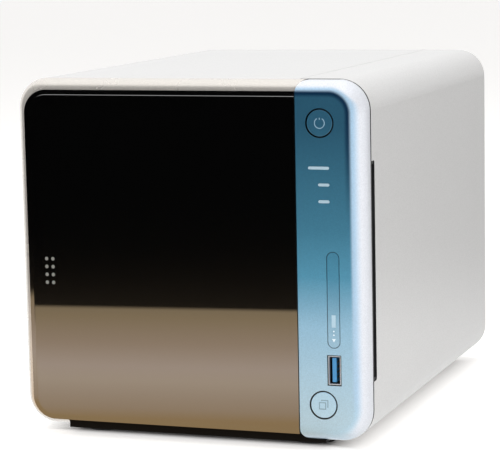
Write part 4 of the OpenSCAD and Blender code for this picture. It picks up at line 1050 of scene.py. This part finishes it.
def warm_strip(tree, axis):
    """What polished surfaces see of the floor: white, with a warm strip before the door. The strip
    is darker close to the door, a painted shadow of the unit.
    """
    stops = ((0.0, (0.70, 0.47, 0.23)), (0.06, (0.71, 0.47, 0.23)), (0.12, (0.78, 0.57, 0.38)),
             (0.21, (0.86, 0.66, 0.48)), (0.30, (0.96, 0.763, 0.577)), (0.398, (0.96, 0.76, 0.61)),
             (0.58, (0.76, 0.565, 0.40)), (0.804, (0.61, 0.45, 0.263)), (0.878, (0.56, 0.42, 0.25)),
             (0.913, (0, 0, 0)))
    ahead = minus(tree, CAD_BOX[0].y, axis["Y"])
    slant = times(tree, plus(tree, axis["X"], 0.197), 0.124)
    reach = add_node(tree, "ShaderNodeMapRange",
                     {"Value": minus(tree, ahead, slant),
                      "From Min": 0.0, "From Max": 0.36})
    warm = colour_ramp(tree, reach.outputs["Result"], stops)
    strip = mix_colour(tree, ease(tree, axis["X"], -0.345, -0.385), warm, (0, 0, 0))
    before = times(tree, ease(tree, ahead, -4 * MM, 0), ease(tree, axis["X"], 0.085, 0.05))
    return mix_colour(tree, before, (1, 1, 1), strip)


def stage_floor():
    """Wide pale floor, darker under the unit, where a painted shadow cuts its glow for the camera
    and eases out beside the unit. Polished surfaces see the warm strip instead.
    """
    bm = bmesh.new()
    bmesh.ops.create_grid(bm, x_segments=1, y_segments=1, size=6)
    mesh = bpy.data.meshes.new("floor")
    bm.to_mesh(mesh)
    bm.free()
    floor = bpy.data.objects.new("floor", mesh)
    bpy.context.scene.collection.objects.link(floor)

    material, tree, shader = start_finish("Floor", (0.84, 0.83, 0.815), 0.9)
    path = add_node(tree, "ShaderNodeLightPath").outputs
    plug(tree, shader["Emission Color"], (1.0, 0.985, 0.975))
    axis = split(tree, object_place(tree))
    # painted shadow: the camera's glow is cut under the unit and eased back in beside it and past
    # its ends
    beside = ease(tree, calculate(tree, "ABSOLUTE", axis["X"]), 59 * MM, 84 * MM)
    beyond = ease(tree, calculate(tree, "ABSOLUTE", axis["Y"]), 98 * MM, 105 * MM)
    outside_painted_shadow = highest(tree, beside, beyond)
    glow = plus(tree, times(tree, outside_painted_shadow, 0.5), 0.02)
    plug(tree, shader["Emission Strength"], times(tree, path["Is Camera Ray"], glow))
    # polished surfaces see the floor dimmer behind the unit on the right
    rear = times(tree, ease(tree, axis["Y"], 0.10, 0.5), ease(tree, axis["X"], 0, 0.2))
    strength = minus(tree, 1.1, times(tree, rear, 0.55))
    seen = add_node(tree, "ShaderNodeEmission",
                    {"Color": warm_strip(tree, axis), "Strength": strength})
    mixer = add_node(tree, "ShaderNodeMixShader", {0: path["Is Glossy Ray"]})
    output = next(n for n in tree.nodes if n.type == "OUTPUT_MATERIAL")
    principled = next(n for n in tree.nodes if n.type == "BSDF_PRINCIPLED")
    tree.links.new(principled.outputs[0], mixer.inputs[1])
    tree.links.new(seen.outputs[0], mixer.inputs[2])
    tree.links.new(mixer.outputs[0], output.inputs["Surface"])
    mesh.materials.append(material)


def stage_world(stage):
    """White surroundings, even light, and a dark studio in front for polished surfaces."""
    world = bpy.data.worlds.new("Studio")
    bpy.context.scene.world = world
    world.use_nodes = True
    tree = world.node_tree
    tree.nodes.clear()
    path = add_node(tree, "ShaderNodeLightPath").outputs
    direction = split(tree, add_node(tree, "ShaderNodeTexCoord").outputs["Generated"])
    leftward = times(tree, calculate(tree, "MINIMUM", direction["X"], 0), 0.22)
    sideways = ease(tree, plus(tree, direction["Y"], leftward), -0.42, -0.18)
    overhead = ease(tree, direction["Z"], 0.45, 0.72)
    shaded = ease(tree, direction["X"], 0.05, 0.75)
    dimmed = minus(tree, 0.98, times(tree, shaded, 0.35))
    level = times(tree, highest(tree, sideways, overhead), dimmed)
    even = times(tree, minus(tree, 1.0, times(tree, shaded, 0.55)), stage.ambient)
    lit = mix_colour(tree, path["Is Glossy Ray"], even, level)
    clear = highest(tree, path["Is Camera Ray"], path["Is Transmission Ray"])
    seen = mix_colour(tree, clear, lit, (1, 1, 1))
    background = add_node(tree, "ShaderNodeBackground", {"Color": seen, "Strength": 1.0})
    output = tree.nodes.new("ShaderNodeOutputWorld")
    tree.links.new(background.outputs[0], output.inputs["Surface"])


def stage_light(name, place, size, power, colour=(1, 1, 1)):
    """Soft square light that faces the middle of the unit and isn't mirrored in it."""
    lamp = bpy.data.lights.new(name, "AREA")
    lamp.shape = "SQUARE"
    lamp.size = size
    lamp.energy = power
    lamp.color = colour
    holder = bpy.data.objects.new(name, lamp)
    target = (CAD_BOX[0] + CAD_BOX[1]) / 2
    holder.location = place
    holder.rotation_euler = (target - Vector(place)).to_track_quat("-Z", "Y").to_euler()
    holder.visible_glossy = False
    holder.visible_camera = False
    bpy.context.scene.collection.objects.link(holder)


def stage_camera(stage):
    """Camera that looks at the unit from the right of its door."""
    azimuth, elevation = stage.azimuth, stage.elevation
    back = Vector((math.sin(azimuth) * math.cos(elevation),
                   -math.cos(azimuth) * math.cos(elevation), math.sin(elevation)))
    right = Vector((math.cos(azimuth), math.sin(azimuth), 0))
    up = back.cross(right)
    rolled_right = math.cos(stage.roll) * right + math.sin(stage.roll) * up
    rolled_up = math.cos(stage.roll) * up - math.sin(stage.roll) * right
    camera = bpy.data.cameras.new("Camera")
    camera.lens = stage.lens
    camera.sensor_width = 36
    holder = bpy.data.objects.new("Camera", camera)
    bpy.context.scene.collection.objects.link(holder)
    turn = Matrix((rolled_right, rolled_up, back)).transposed().to_4x4()
    holder.matrix_world = Matrix.Translation(Vector(LOOKED_AT) + stage.distance * back) @ turn
    bpy.context.scene.camera = holder


class STORAGE_OT_stage(bpy.types.Operator):
    """Set the floor, the surroundings, the lights and the camera"""
    bl_idname = "storage.stage"
    bl_label = "Stage"

    def execute(self, context):
        stage = context.scene.storage_stage
        stage_camera(stage)
        stage_floor()
        stage_world(stage)
        stage_light("Top Light", (-0.1, 0.1, 1.35), 1.3, stage.top_power)
        stage_light("Side Light", (0.62, -0.66, 0.40), 0.4, stage.side_power, (1, 0.985, 0.97))
        stage_light("Front Light", (0.35, -1.6, 0.75), 1.2, stage.front_power)
        context.scene.view_settings.view_transform = "Standard"
        return {"FINISHED"}


# ---------------------------------------------------------------- panel and registration

STEPS = (
    STORAGE_OT_stage, STORAGE_OT_cover_finish, STORAGE_OT_front_finish, STORAGE_OT_bay_finish,
    STORAGE_OT_board_finish, STORAGE_OT_port_finish, STORAGE_OT_rear_finish,
    STORAGE_OT_base_finish, STORAGE_OT_power_mark, STORAGE_OT_copy_mark,
    STORAGE_OT_progress_marks, STORAGE_OT_usb_contacts, STORAGE_OT_network_contacts,
    STORAGE_OT_display_contacts, STORAGE_OT_power_pin,
)


class STORAGE_PT_sidebar(bpy.types.Panel):
    """Steps and settings of the storage unit"""
    bl_idname = "STORAGE_PT_sidebar"
    bl_label = "Storage Unit"
    bl_space_type = "VIEW_3D"
    bl_region_type = "UI"
    bl_category = "Storage Unit"

    def draw(self, context):
        column = self.layout.column(align=True)
        for step in STEPS:
            column.operator(step.bl_idname)
        for settings in (context.scene.storage_paint, context.scene.storage_marks,
                         context.scene.storage_stage):
            box = self.layout.box()
            for name in settings.__annotations__:
                box.prop(settings, name)


CLASSES = (PaintSettings, MarkSettings, StageSettings, *STEPS, STORAGE_PT_sidebar)


def register():
    for cls in CLASSES:
        bpy.utils.register_class(cls)
    bpy.types.Scene.storage_paint = bpy.props.PointerProperty(type=PaintSettings)
    bpy.types.Scene.storage_marks = bpy.props.PointerProperty(type=MarkSettings)
    bpy.types.Scene.storage_stage = bpy.props.PointerProperty(type=StageSettings)


def unregister():
    del bpy.types.Scene.storage_stage
    del bpy.types.Scene.storage_marks
    del bpy.types.Scene.storage_paint
    for cls in reversed(CLASSES):
        bpy.utils.unregister_class(cls)


def main():
    register()
    Effects.grain = grain_group()
    Effects.flake = flake_group()
    Effects.brushed = brushed_group()
    Effects.spangle = spangle_group()
    Effects.fade = fade_group(bpy.context.scene.storage_paint)

    bpy.ops.storage.stage()
    bpy.ops.storage.cover_finish()
    bpy.ops.storage.front_finish()
    bpy.ops.storage.bay_finish()
    bpy.ops.storage.board_finish()
    bpy.ops.storage.port_finish()
    bpy.ops.storage.rear_finish()
    bpy.ops.storage.base_finish()
    bpy.ops.storage.power_mark()
    bpy.ops.storage.copy_mark()
    bpy.ops.storage.progress_marks()
    bpy.ops.storage.usb_contacts()
    bpy.ops.storage.network_contacts()
    bpy.ops.storage.display_contacts()
    bpy.ops.storage.power_pin()


if __name__ == "__main__":
    main()
